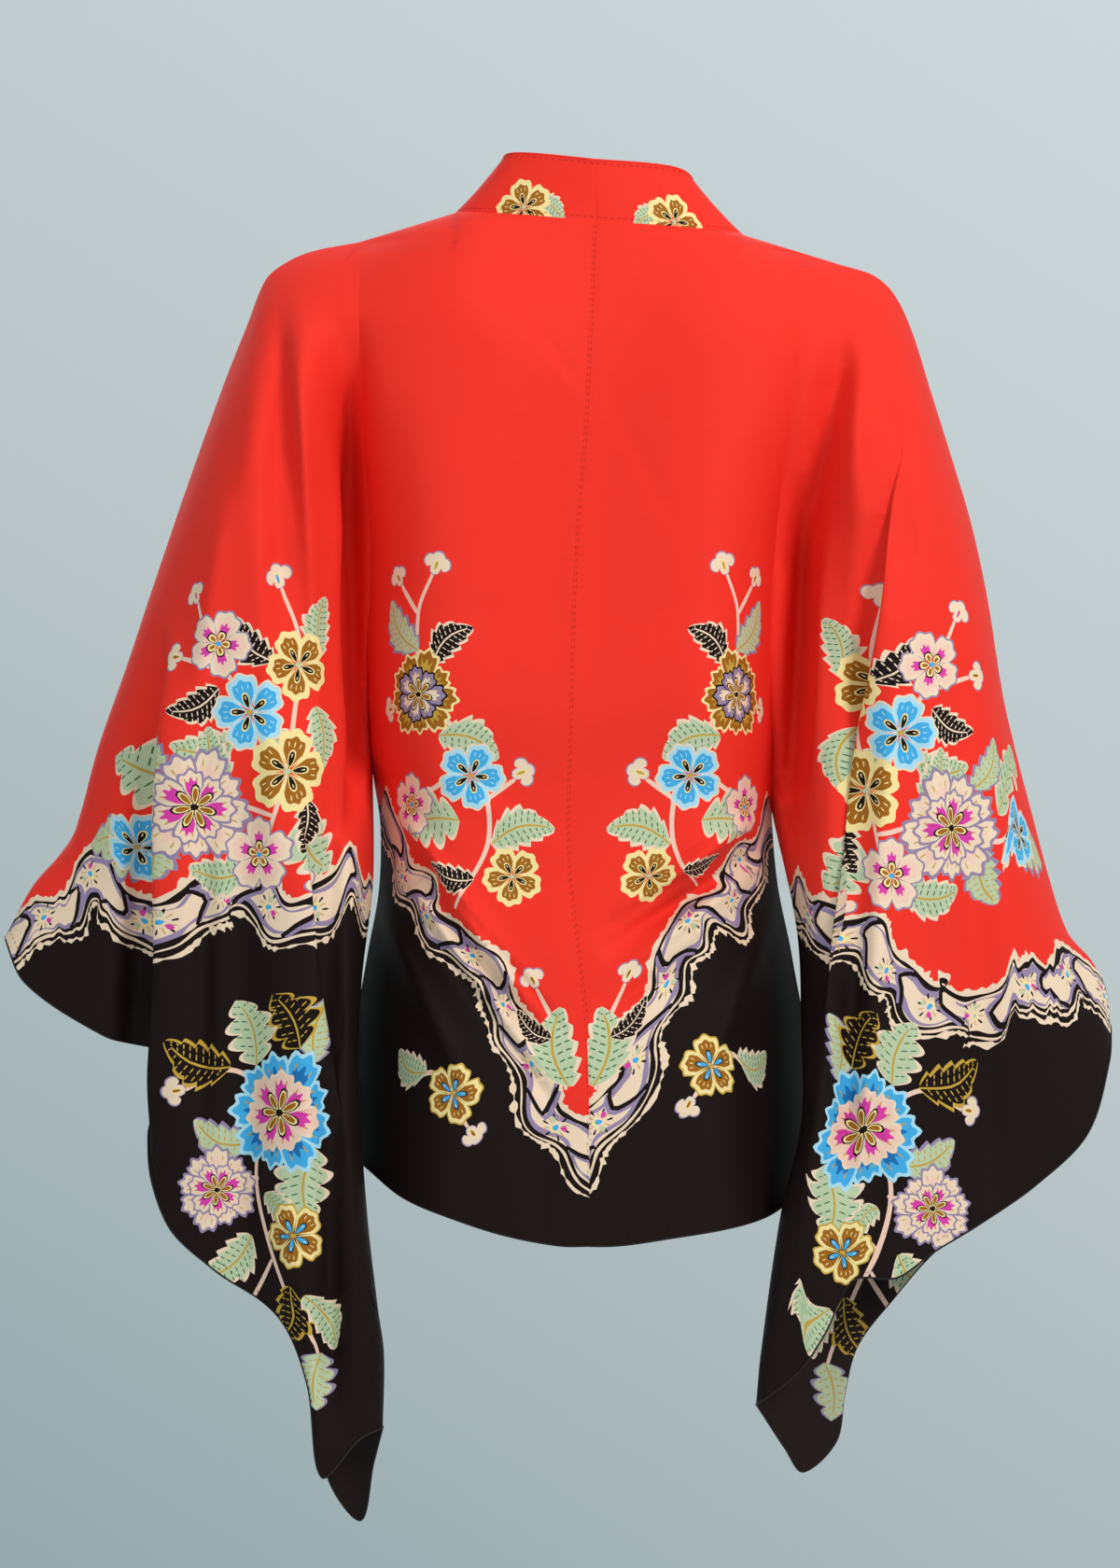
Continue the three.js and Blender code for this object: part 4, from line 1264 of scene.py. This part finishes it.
BORDER_SEEDS = {"left": (3, 5), "right": (8, 12)}  # of the body and of the sleeve


def drawn(stems, art, shift=(0, 0)):
    """Stems and motifs of one side, with u away from the centre."""
    made = [
        (ribbon(np.array(stem, float) + shift, STEM, STEM_ENDS, STEM_STEP), "blush")
        for stem in stems
    ]
    for what, u, v, size, turn, kind in art:
        made += DRAW[what](u + shift[0], v + shift[1], size, turn, kind)
    return made


def dyed(made, sign, dyes):
    """Drawings turned to their own side of the centre, with the values of their dyes."""
    return [(outline * (sign, 1), tuple(getattr(dyes, name))) for outline, name in made]


def body_print(side, face, dyes):
    path = BACK_BORDER if face == "back" else FRONT_BORDER
    made = [(below(path), "black")] + border(path, BORDER_SEEDS[side.name][0])
    made += drawn(BACK_STEMS, BACK_ART) if face == "back" else drawn([], FRONT_ART)
    return dyed(made, side.sign, dyes)


def sleeve_print(side, face, dyes):
    path, shift = SLEEVE_BORDER[side.name], PRINT_SHIFTS[side.name][0]
    made = [(below(path), "black")] + border(path, BORDER_SEEDS[side.name][1])
    if face == "back":
        made += drawn(SLEEVE_STEMS, SLEEVE_ART, shift)
    made += drawn(SLEEVE_NIGHT_STEMS, SLEEVE_NIGHT, shift)
    return dyed(made, side.sign, dyes)


def band_print(side, dyes):
    return dyed(drawn([], BAND_ART, PRINT_SHIFTS[side.name][1]), 1, dyes)


# ---- materials ---------------------------------------------------------------------------------

COLOUR_A, COLOUR_B, COLOUR_OUT = 6, 7, 2  # the colour sockets of a Mix node
VEIL = (0.028, 0.018, 0.016, 1)


def add_node(tree, kind, place, **values):
    """A node with its properties, and the values of its inputs by their names."""
    node = tree.nodes.new(kind)
    node.location = place
    for key, value in values.items():
        if hasattr(node, key):
            setattr(node, key, value)
        else:
            node.inputs[key.replace("_", " ")].default_value = value
    return node


def add_math(tree, place, operation, *values):
    """A math node; values are pairs of an input's number and its value."""
    node = add_node(tree, "ShaderNodeMath", place, operation=operation)
    for index, value in values:
        node.inputs[index].default_value = value
    return node


def add_sockets(tree, way, *sockets):
    """Sockets of a node group: name, kind and, where one has it, its default value."""
    for name, kind, *value in sockets:
        socket = tree.interface.new_socket(name, in_out=way, socket_type="NodeSocket" + kind)
        if value:
            socket.default_value = value[0]


def wire(tree, *links):
    """Joins nodes; each link is a node and its output, then a node and its input."""
    for source, output, target, socket in links:
        tree.links.new(source.outputs[output], target.inputs[socket])


def silk_weave():
    """Node group: the weave, its slubs and the uneven take of the dye, from cloth coordinates."""
    old = bpy.data.node_groups.get("Silk weave")
    if old:
        return old
    tree = bpy.data.node_groups.new("Silk weave", "ShaderNodeTree")
    add_sockets(
        tree, "INPUT", ("Vector", "Vector"), ("Dye", "Color"),
        ("Threads per metre", "Float", 1800.0), ("Unevenness", "Float", 0.06),
    )
    add_sockets(tree, "OUTPUT", ("Color", "Color"), ("Roughness", "Float"), ("Height", "Float"))
    inp = add_node(tree, "NodeGroupInput", (-900, 0))
    out = add_node(tree, "NodeGroupOutput", (700, 0))
    weave = add_math(tree, (-250, 120), "MULTIPLY")
    for k, direction in enumerate(("X", "Y")):
        wave = add_node(
            tree, "ShaderNodeTexWave", (-500, 200 - 260 * k), wave_type="BANDS",
            bands_direction=direction, Distortion=0.6, Detail=1.0,
        )
        wire(
            tree, (inp, "Vector", wave, "Vector"), (inp, "Threads per metre", wave, "Scale"),
            (wave, "Fac", weave, k),
        )
    stretch = add_node(tree, "ShaderNodeMapping", (-700, -420), Scale=(60, 900, 1))
    slub = add_node(tree, "ShaderNodeTexNoise", (-500, -420), Scale=1.0, Detail=2.0)
    cloud = add_node(tree, "ShaderNodeTexNoise", (-500, -680), Scale=14.0, Detail=3.0)
    height = add_math(tree, (0, 120), "MULTIPLY_ADD", (1, 0.5))
    tone = add_math(tree, (-250, -500), "ADD")
    shift = add_math(tree, (-50, -500), "SUBTRACT", (1, 1.0))
    gain = add_math(tree, (150, -500), "MULTIPLY_ADD", (2, 1.0))
    shade = add_node(tree, "ShaderNodeVectorMath", (350, -200), operation="SCALE")
    rough = add_math(tree, (150, -700), "MULTIPLY_ADD", (1, 0.14), (2, 0.46))
    wire(
        tree, (inp, "Vector", stretch, "Vector"), (stretch, "Vector", slub, "Vector"),
        (inp, "Vector", cloud, "Vector"), (slub, "Fac", height, 0), (weave, 0, height, 2),
        (slub, "Fac", tone, 0), (cloud, "Fac", tone, 1), (tone, 0, shift, 0), (shift, 0, gain, 0),
        (inp, "Unevenness", gain, 1), (inp, "Dye", shade, 0), (gain, 0, shade, "Scale"),
        (cloud, "Fac", rough, 0), (height, 0, out, "Height"), (shade, 0, out, "Color"),
        (rough, 0, out, "Roughness"),
    )
    return tree


def cover(tree, weave, shader, bump, gloss):
    """Joins a weave group to a shader, with its height as a bump."""
    wire(
        tree, (weave, "Height", bump, "Height"), (weave, "Color", shader, "Base Color"),
        (weave, "Roughness", shader, "Roughness"), (bump, "Normal", shader, "Normal"),
    )
    shader.inputs["Specular IOR Level"].default_value = gloss


def silk(name, muted):
    """Printed silk. muted is how far the print is veiled, as on the cloth's inside."""
    material = bpy.data.materials.get(name)
    if material:
        return material
    material = bpy.data.materials.new(name)
    material.use_nodes = True
    tree = material.node_tree
    tree.nodes.clear()
    out = add_node(tree, "ShaderNodeOutputMaterial", (900, 0))
    shader = add_node(tree, "ShaderNodeBsdfPrincipled", (600, 0))
    place = add_node(tree, "ShaderNodeUVMap", (-600, -100), uv_map="cloth")
    dyed_on = add_node(tree, "ShaderNodeAttribute", (-600, 150), attribute_name="dye")
    veil = add_node(tree, "ShaderNodeMix", (-350, 150), data_type="RGBA", Factor=muted)
    veil.inputs[COLOUR_B].default_value = VEIL
    weave = add_node(tree, "ShaderNodeGroup", (-50, 0), node_tree=silk_weave())
    bump = add_node(tree, "ShaderNodeBump", (300, -250), Strength=0.35, Distance=0.00008)
    cover(tree, weave, shader, bump, 0.04)
    wire(
        tree, (dyed_on, "Color", veil, COLOUR_A), (veil, COLOUR_OUT, weave, "Dye"),
        (place, "UV", weave, "Vector"), (shader, 0, out, "Surface"),
    )
    return material


def thread(name, colour):
    """Spun sewing thread."""
    material = bpy.data.materials.new(name)
    material.use_nodes = True
    tree = material.node_tree
    place = add_node(tree, "ShaderNodeTexCoord", (-900, 0))
    spin = add_node(
        tree, "ShaderNodeGroup", (-500, 0), node_tree=silk_weave(), Dye=linear(colour) + (1,),
        Threads_per_metre=900, Unevenness=0.3,
    )
    bump = add_node(tree, "ShaderNodeBump", (-250, -250), Strength=0.3, Distance=0.00005)
    cover(tree, spin, tree.nodes["Principled BSDF"], bump, 0.2)
    wire(tree, (place, "Object", spin, "Vector"))
    return material


# ---- the pieces --------------------------------------------------------------------------------

SQUARE = (0, 0), (1, 0), (1, 1), (0, 1)
INSIDE_MUTED = 0.25


def edges_through(*corners):
    """The edges of a piece, each as shares across and down it, from corner to corner."""
    def edge(start, end):
        return lambda t: (mix(start[0], end[0], t), mix(start[1], end[1], t))

    return [edge(*ends) for ends in zip(corners, corners[1:] + corners[:1])]


def body_cloth(side, face, step):
    """A back or front panel."""
    across = np.linspace(0, 1, 71)
    down = np.concatenate([np.linspace(0, 1, 150) ** 1.3, np.linspace(1, 2, 110)[1:]])
    if face == "back":
        across = np.unique(np.concatenate([across, [side.neck_share]]))
        sheet, top, anchor_x = side.back, [(0, 0), (side.neck_share, 0)], centre_x
    else:
        sheet, top, anchor_x = side.front, [(0, 0)], lambda z: side.sign * opening_x(z)
    flat = partial(unroll, anchor_x=anchor_x, level=FLAT_LEVEL)
    edges = edges_through(*top, (1, 0), (1, 1), (1, 2), (0, 2))
    return Cloth(
        f"{face}_{side.name}", sheet, edges, across, down, flat, face == "back", step
    )


def sleeve_cloth(side, face, step):
    """One half of a sleeve, with more points where it laps over itself."""
    q = np.linspace(0, 1, 141)
    flat = partial(
        unroll, anchor_x=lambda z: np.full(len(z), side.sign * SLEEVE_ANCHOR), level=SLEEVE_LEVEL
    )
    side.lapped = False
    cloth = Cloth(
        f"sleeve_{side.name}_{face}", partial(side.sleeve, face), edges_through(*SQUARE),
        np.linspace(0, 1, 171) ** 1.1, mix(q**1.6, (1 - np.cos(np.pi * q)) / 2, 0.5), flat,
        face == "back", step,
    )
    side.lapped = True
    if side.laps(face):
        cloth.refine(side.near_laps(face))
    return cloth


def band_cloth(side, step):
    """One half of the neckband, which is already a strip."""
    across, along = np.linspace(0, 1, 13), np.linspace(0, 1, 260)
    flat = np.stack(np.meshgrid(across * BAND, along * side.seam_length, indexing="ij"), axis=-1)
    cloth = Cloth(
        f"neckband_{side.name}", side.neckband, edges_through(*SQUARE), across, along, flat,
        True, step,
    )
    normal = cloth.normals(np.array([0.5]), np.array([0.01]))[0]
    if normal[1] < 0:
        cloth.side = -cloth.side
    return cloth


def add_piece(cloth, motifs, sizes, dyes):
    """Makes a piece on its red ground, puts it under the root body and hides the plain solid of its
    node.
    """
    outside, inside = silk("Printed silk", 0.0), silk("Printed silk inside", INSIDE_MUTED)
    piece = make_cloth(cloth, tuple(dyes.red), motifs, sizes.thickness, (outside, inside))
    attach(piece, "root")
    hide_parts(cloth.node)


def props(context):
    return context.scene.kimono_sizes, context.scene.kimono_dyes


def add_panels(context, cut, printed):
    """The back and front pieces of both sides."""
    sizes, dyes = props(context)
    for name in SIDES:
        side = Side(name)
        for face in ("back", "front"):
            cloth = cut(side, face, sizes.mesh_step / MM)
            add_piece(cloth, printed(side, face, dyes), sizes, dyes)
    return {"FINISHED"}


class KIMONO_OT_bodies(bpy.types.Operator):
    """Back and front panels of both sides"""

    bl_idname = "kimono.bodies"
    bl_label = "Back and front panels"

    def execute(self, context):
        return add_panels(context, body_cloth, body_print)


class KIMONO_OT_sleeves(bpy.types.Operator):
    """Both halves of both sleeves"""

    bl_idname = "kimono.sleeves"
    bl_label = "Sleeves"

    def execute(self, context):
        return add_panels(context, sleeve_cloth, sleeve_print)


class KIMONO_OT_neckband(bpy.types.Operator):
    """Both halves of the neckband"""

    bl_idname = "kimono.neckband"
    bl_label = "Neckband"

    def execute(self, context):
        sizes, dyes = props(context)
        for name in SIDES:
            side = Side(name)
            cloth = band_cloth(side, sizes.mesh_step / MM)
            add_piece(cloth, band_print(side, dyes), sizes, dyes)
        return {"FINISHED"}


# ---- the stage ---------------------------------------------------------------------------------

CAMERA_PLACE = (0.0139, 5.5, -0.3823)
SENSOR = 36
PICTURE_HEIGHT, PICTURE_DEPTH = 1680 / 1580, 0.06  # what the picture spans, and how far back
LIT = (0, 0, -0.4)  # where the lights point
LIGHTS = (  # name, place, size, power
    ("Key", (-1.9, 2.9, 1.3), 0.9, 66), ("Fill", (1.6, 3.2, -0.5), 2.2, 16),
    ("Top", (0, 0.3, 2.4), 2.0, 14), ("Front", (0.4, -3.0, 0.6), 2.4, 24),
)
BACKDROP = (0.27, 0.37, 0.39, 1), (0.49, 0.56, 0.57, 1), (0.62, 0.70, 0.71, 1)
BACKDROP_SLANT, BACKDROP_SPAN = (-0.6, 0, 1), 0.16
FLOOR = (0.60, 0.66, 0.67, 1), (0.66, 0.72, 0.73, 1)
FLOOR_RADIUS, FLOOR_LEVEL, FLOOR_CORNERS = 4, -1.45, 64


def add_ramp(tree, place, first, last):
    node = add_node(tree, "ShaderNodeValToRGB", place)
    node.color_ramp.elements[0].color = first
    node.color_ramp.elements[1].color = last
    return node


def add_camera(scene):
    camera = bpy.data.cameras.new("Camera")
    camera.sensor_width = SENSOR
    camera.lens = SENSOR * (CAMERA_PLACE[1] - PICTURE_DEPTH) / PICTURE_HEIGHT
    scene.camera = add_object(scene, "Camera", camera, CAMERA_PLACE)
    scene.camera.rotation_euler = (math.pi / 2, 0, math.pi)


def add_backdrop(scene):
    scene.world = bpy.data.worlds.new("Studio")
    scene.world.use_nodes = True
    tree = scene.world.node_tree
    place = add_node(tree, "ShaderNodeTexCoord", (-900, 0))
    slope = add_node(tree, "ShaderNodeVectorMath", (-700, 0), operation="DOT_PRODUCT")
    slope.inputs[1].default_value = BACKDROP_SLANT
    span = add_node(
        tree, "ShaderNodeMapRange", (-500, 0), From_Min=-BACKDROP_SPAN, From_Max=BACKDROP_SPAN
    )
    low, middle, high = BACKDROP
    ramp = add_ramp(tree, (-300, 0), low, high)
    ramp.color_ramp.elements.new(0.5).color = middle
    wire(
        tree, (place, "Generated", slope, 0), (slope, "Value", span, "Value"),
        (span, "Result", ramp, "Fac"), (ramp, "Color", tree.nodes["Background"], "Color"),
    )


def add_lights(scene):
    for name, place, size, power in LIGHTS:
        light = bpy.data.lights.new(name, "AREA")
        light.size, light.energy = size, power
        lamp = add_object(scene, name, light, place)
        lamp.rotation_euler = (Vector(LIT) - Vector(place)).to_track_quat("-Z", "Y").to_euler()


def add_floor(scene):
    mesh = bpy.data.meshes.new("floor")
    ring = [
        (FLOOR_RADIUS * math.cos(a), FLOOR_RADIUS * math.sin(a), FLOOR_LEVEL)
        for a in np.linspace(0, 2 * math.pi, FLOOR_CORNERS + 1)[:-1]
    ]
    mesh.from_pydata(ring, [], [list(range(FLOOR_CORNERS))])
    paint = bpy.data.materials.new("Pale floor")
    paint.use_nodes = True
    tree = paint.node_tree
    shader = tree.nodes["Principled BSDF"]
    grain = add_node(tree, "ShaderNodeTexNoise", (-500, 0), Scale=3.0)
    ramp = add_ramp(tree, (-280, 0), *FLOOR)
    wire(tree, (grain, "Fac", ramp, "Fac"), (ramp, "Color", shader, "Base Color"))
    shader.inputs["Roughness"].default_value = 0.8
    mesh.materials.append(paint)
    add_object(scene, "floor", mesh)


class KIMONO_OT_stage(bpy.types.Operator):
    """Camera, soft studio lights, backdrop colour and floor"""

    bl_idname = "kimono.stage"
    bl_label = "Stage"

    def execute(self, context):
        context.scene.view_settings.view_transform = "Standard"
        for add in (add_camera, add_backdrop, add_lights, add_floor):
            add(context.scene)
        return {"FINISHED"}


# ---- stitches and rolled edges -----------------------------------------------------------------

STITCH_HEIGHT, SLOPE_REACH = 0.1, 0.002
SEWN, ROLL_RADIUS = 0.55, 0.0007  # share of a stitch that shows, and radius of a rolled edge
CENTRE_STITCH, BAND_STITCHES = 0.006, (0.06, 0.94)  # where across a piece the lines lie
BACK_HEM, FRONT_HEM, CUFF_HEM = 1.975, 1.98, 0.988  # where down a panel, and along a sleeve


def raised(sheet, u, v, outward):
    """Points of a sheet, lifted off it towards its outside."""
    d = SLOPE_REACH
    normal = np.cross(sheet(u + d, v) - sheet(u - d, v), sheet(u, v + d) - sheet(u, v - d))
    normal /= np.maximum(np.linalg.norm(normal, axis=1, keepdims=True), TINY)
    normal *= np.sign(normal @ np.array(outward, float))[:, None]
    return sheet(u, v) + STITCH_HEIGHT * normal


def seam_lines(side):
    """Lines of stitches: red ones and black ones."""
    def span(start, end):
        return np.linspace(start, end, SEAM_POINTS)

    back, away = (0, 1, 0.1), (0, -1, 0)
    whole, share = np.ones(SEAM_POINTS), span(0.004, 0.996)
    red = [raised(side.back, CENTRE_STITCH * whole, span(0.01, 1.72), back)]
    red += [
        raised(side.neckband, place * whole, span(0.003, 0.6), back) for place in BAND_STITCHES
    ]
    black = [
        raised(side.back, CENTRE_STITCH * whole, span(1.74, 1.99), back),
        raised(side.back, share, BACK_HEM * whole, back),
        raised(side.front, share, FRONT_HEM * whole, away),
        raised(partial(side.sleeve, "back"), CUFF_HEM * whole, share, back),
        raised(partial(side.sleeve, "front"), CUFF_HEM * whole, share, away),
    ]
    return red, black


def edge_lines(side):
    """Free edges with a rolled hem: red ones and black ones."""
    t, whole = np.linspace(0, 1, LINE_POINTS), np.ones(LINE_POINTS)
    black = [side.back(t, 2 * whole), side.front(t, 2 * whole)]
    black += [side.sleeve(face, whole, t) for face in ("back", "front")]
    return [side.neckband(whole, t)], black


def sewing_tree(name, *sizes):
    """A tree of geometry nodes with a line in, named sizes and a finished mesh out."""
    tree = bpy.data.node_groups.new(name, "GeometryNodeTree")
    add_sockets(
        tree, "INPUT", ("Lines", "Geometry"), *((label, "Float", value) for label, value in sizes),
        ("Material", "Material"),
    )
    add_sockets(tree, "OUTPUT", ("Mesh", "Geometry"))
    inp = add_node(tree, "NodeGroupInput", (-900, 0))
    way = add_node(tree, "GeometryNodeMeshToCurve", (-700, 0))
    real = add_node(tree, "GeometryNodeRealizeInstances", (400, 0))
    soft = add_node(tree, "GeometryNodeSetShadeSmooth", (550, 0))
    paint = add_node(tree, "GeometryNodeSetMaterial", (720, 0))
    out = add_node(tree, "NodeGroupOutput", (900, 0))
    wire(
        tree, (inp, "Lines", way, "Mesh"), (real, "Geometry", soft, "Geometry"),
        (soft, "Geometry", paint, "Geometry"), (inp, "Material", paint, "Material"),
        (paint, "Geometry", out, "Mesh"),
    )
    return tree, inp, way, real


def running_stitch(sizes):
    """Geometry nodes: short drops of thread along seam lines."""
    tree, inp, way, real = sewing_tree(
        "Running stitch", ("Stitch length", sizes.stitch), ("Thread", sizes.thread), ("Sewn", SEWN)
    )
    pitch = add_node(tree, "GeometryNodeResampleCurve", (-500, 0), mode="LENGTH")
    drop = add_node(tree, "GeometryNodeMeshUVSphere", (-500, -250), Segments=6, Rings=4, Radius=0.5)
    along = add_node(tree, "GeometryNodeInputTangent", (-500, 250))
    turn = add_node(tree, "FunctionNodeAlignRotationToVector", (-250, 250), axis="Z")
    reach = add_math(tree, (-500, -500), "MULTIPLY")
    size = add_node(tree, "ShaderNodeCombineXYZ", (-250, -500))
    sown = add_node(tree, "GeometryNodeInstanceOnPoints", (100, 0))
    wire(
        tree, (way, "Curve", pitch, "Curve"), (inp, "Stitch length", pitch, "Length"),
        (along, "Tangent", turn, "Vector"), (inp, "Stitch length", reach, 0),
        (inp, "Sewn", reach, 1), (inp, "Thread", size, "X"), (inp, "Thread", size, "Y"),
        (reach, 0, size, "Z"), (pitch, "Curve", sown, "Points"), (drop, "Mesh", sown, "Instance"),
        (turn, "Rotation", sown, "Rotation"), (size, "Vector", sown, "Scale"),
        (sown, "Instances", real, "Geometry"),
    )
    return tree


def rolled_hem():
    """Geometry nodes: a thin roll of cloth along free edges."""
    tree, inp, way, real = sewing_tree("Rolled hem", ("Radius", ROLL_RADIUS))
    ring = add_node(tree, "GeometryNodeCurvePrimitiveCircle", (-500, -250), Resolution=6)
    tube = add_node(tree, "GeometryNodeCurveToMesh", (-250, 0), Fill_Caps=True)
    wire(
        tree, (inp, "Radius", ring, "Radius"), (way, "Curve", tube, "Curve"),
        (ring, "Curve", tube, "Profile Curve"), (tube, "Mesh", real, "Geometry"),
    )
    return tree


def sew(name, lines, tree, material):
    """Runs a tree of geometry nodes on lines and keeps its result as a plain mesh."""
    points, edges = [], []
    for way in lines:
        edges += [(len(points) + k, len(points) + k + 1) for k in range(len(way) - 1)]
        points += (way * MM).tolist()
    scene = bpy.context.scene
    mesh = bpy.data.meshes.new(name + "_lines")
    mesh.from_pydata(points, edges, [])
    holder = add_object(scene, name + "_lines", mesh)
    modifier = holder.modifiers.new("sew", "NODES")
    modifier.node_group = tree
    for item in tree.interface.items_tree:
        if item.item_type == "SOCKET" and item.name == "Material":
            modifier[item.identifier] = material
    depsgraph = bpy.context.evaluated_depsgraph_get()
    sewn = bpy.data.meshes.new_from_object(holder.evaluated_get(depsgraph))
    holder.modifiers.clear()
    bpy.data.objects.remove(holder)
    piece = add_object(scene, name, sewn)
    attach(piece, "root")


class KIMONO_OT_sewing(bpy.types.Operator):
    """Stitches along the seams and rolled edges"""

    bl_idname = "kimono.sewing"
    bl_label = "Stitches and rolled edges"

    def execute(self, context):
        sizes, dyes = props(context)
        stitch, roll = running_stitch(sizes), rolled_hem()
        sides = [Side(name) for name in SIDES]
        colours = ("red", dyes.seam, dyes.red), ("black", dyes.black, dyes.black)
        for k, (name, spun, rolled) in enumerate(colours):
            seams = [way for side in sides for way in seam_lines(side)[k]]
            edges = [way for side in sides for way in edge_lines(side)[k]]
            sew(f"stitches_{name}", seams, stitch, thread(f"Thread {name}", tuple(spun)))
            sew(f"rolled_{name}", edges, roll, thread(f"Rolled silk {name}", tuple(rolled)))
        return {"FINISHED"}


class KIMONO_PT_panel(bpy.types.Panel):
    """Sizes, dyes and pieces of the jacket"""

    bl_idname = "KIMONO_PT_panel"
    bl_label = "Kimono jacket"
    bl_space_type = "VIEW_3D"
    bl_region_type = "UI"
    bl_category = "Kimono"

    def draw(self, context):
        for group in props(context):
            for name in group.bl_rna.properties.keys():
                if name not in ("rna_type", "name"):
                    self.layout.prop(group, name)
        for operator in OPERATORS:
            self.layout.operator(operator.bl_idname)


OPERATORS = (
    KIMONO_OT_stage, KIMONO_OT_bodies, KIMONO_OT_sleeves, KIMONO_OT_neckband, KIMONO_OT_sewing,
)
CLASSES = (JacketSizes, JacketDyes, *OPERATORS, KIMONO_PT_panel)


def register():
    for cls in CLASSES:
        bpy.utils.register_class(cls)
    bpy.types.Scene.kimono_sizes = PointerProperty(type=JacketSizes)
    bpy.types.Scene.kimono_dyes = PointerProperty(type=JacketDyes)


def unregister():
    del bpy.types.Scene.kimono_dyes
    del bpy.types.Scene.kimono_sizes
    for cls in reversed(CLASSES):
        bpy.utils.unregister_class(cls)


def main():
    register()
    bpy.ops.kimono.stage()
    bpy.ops.kimono.bodies()
    bpy.ops.kimono.sleeves()
    bpy.ops.kimono.neckband()
    bpy.ops.kimono.sewing()


if __name__ == "__main__":
    main()
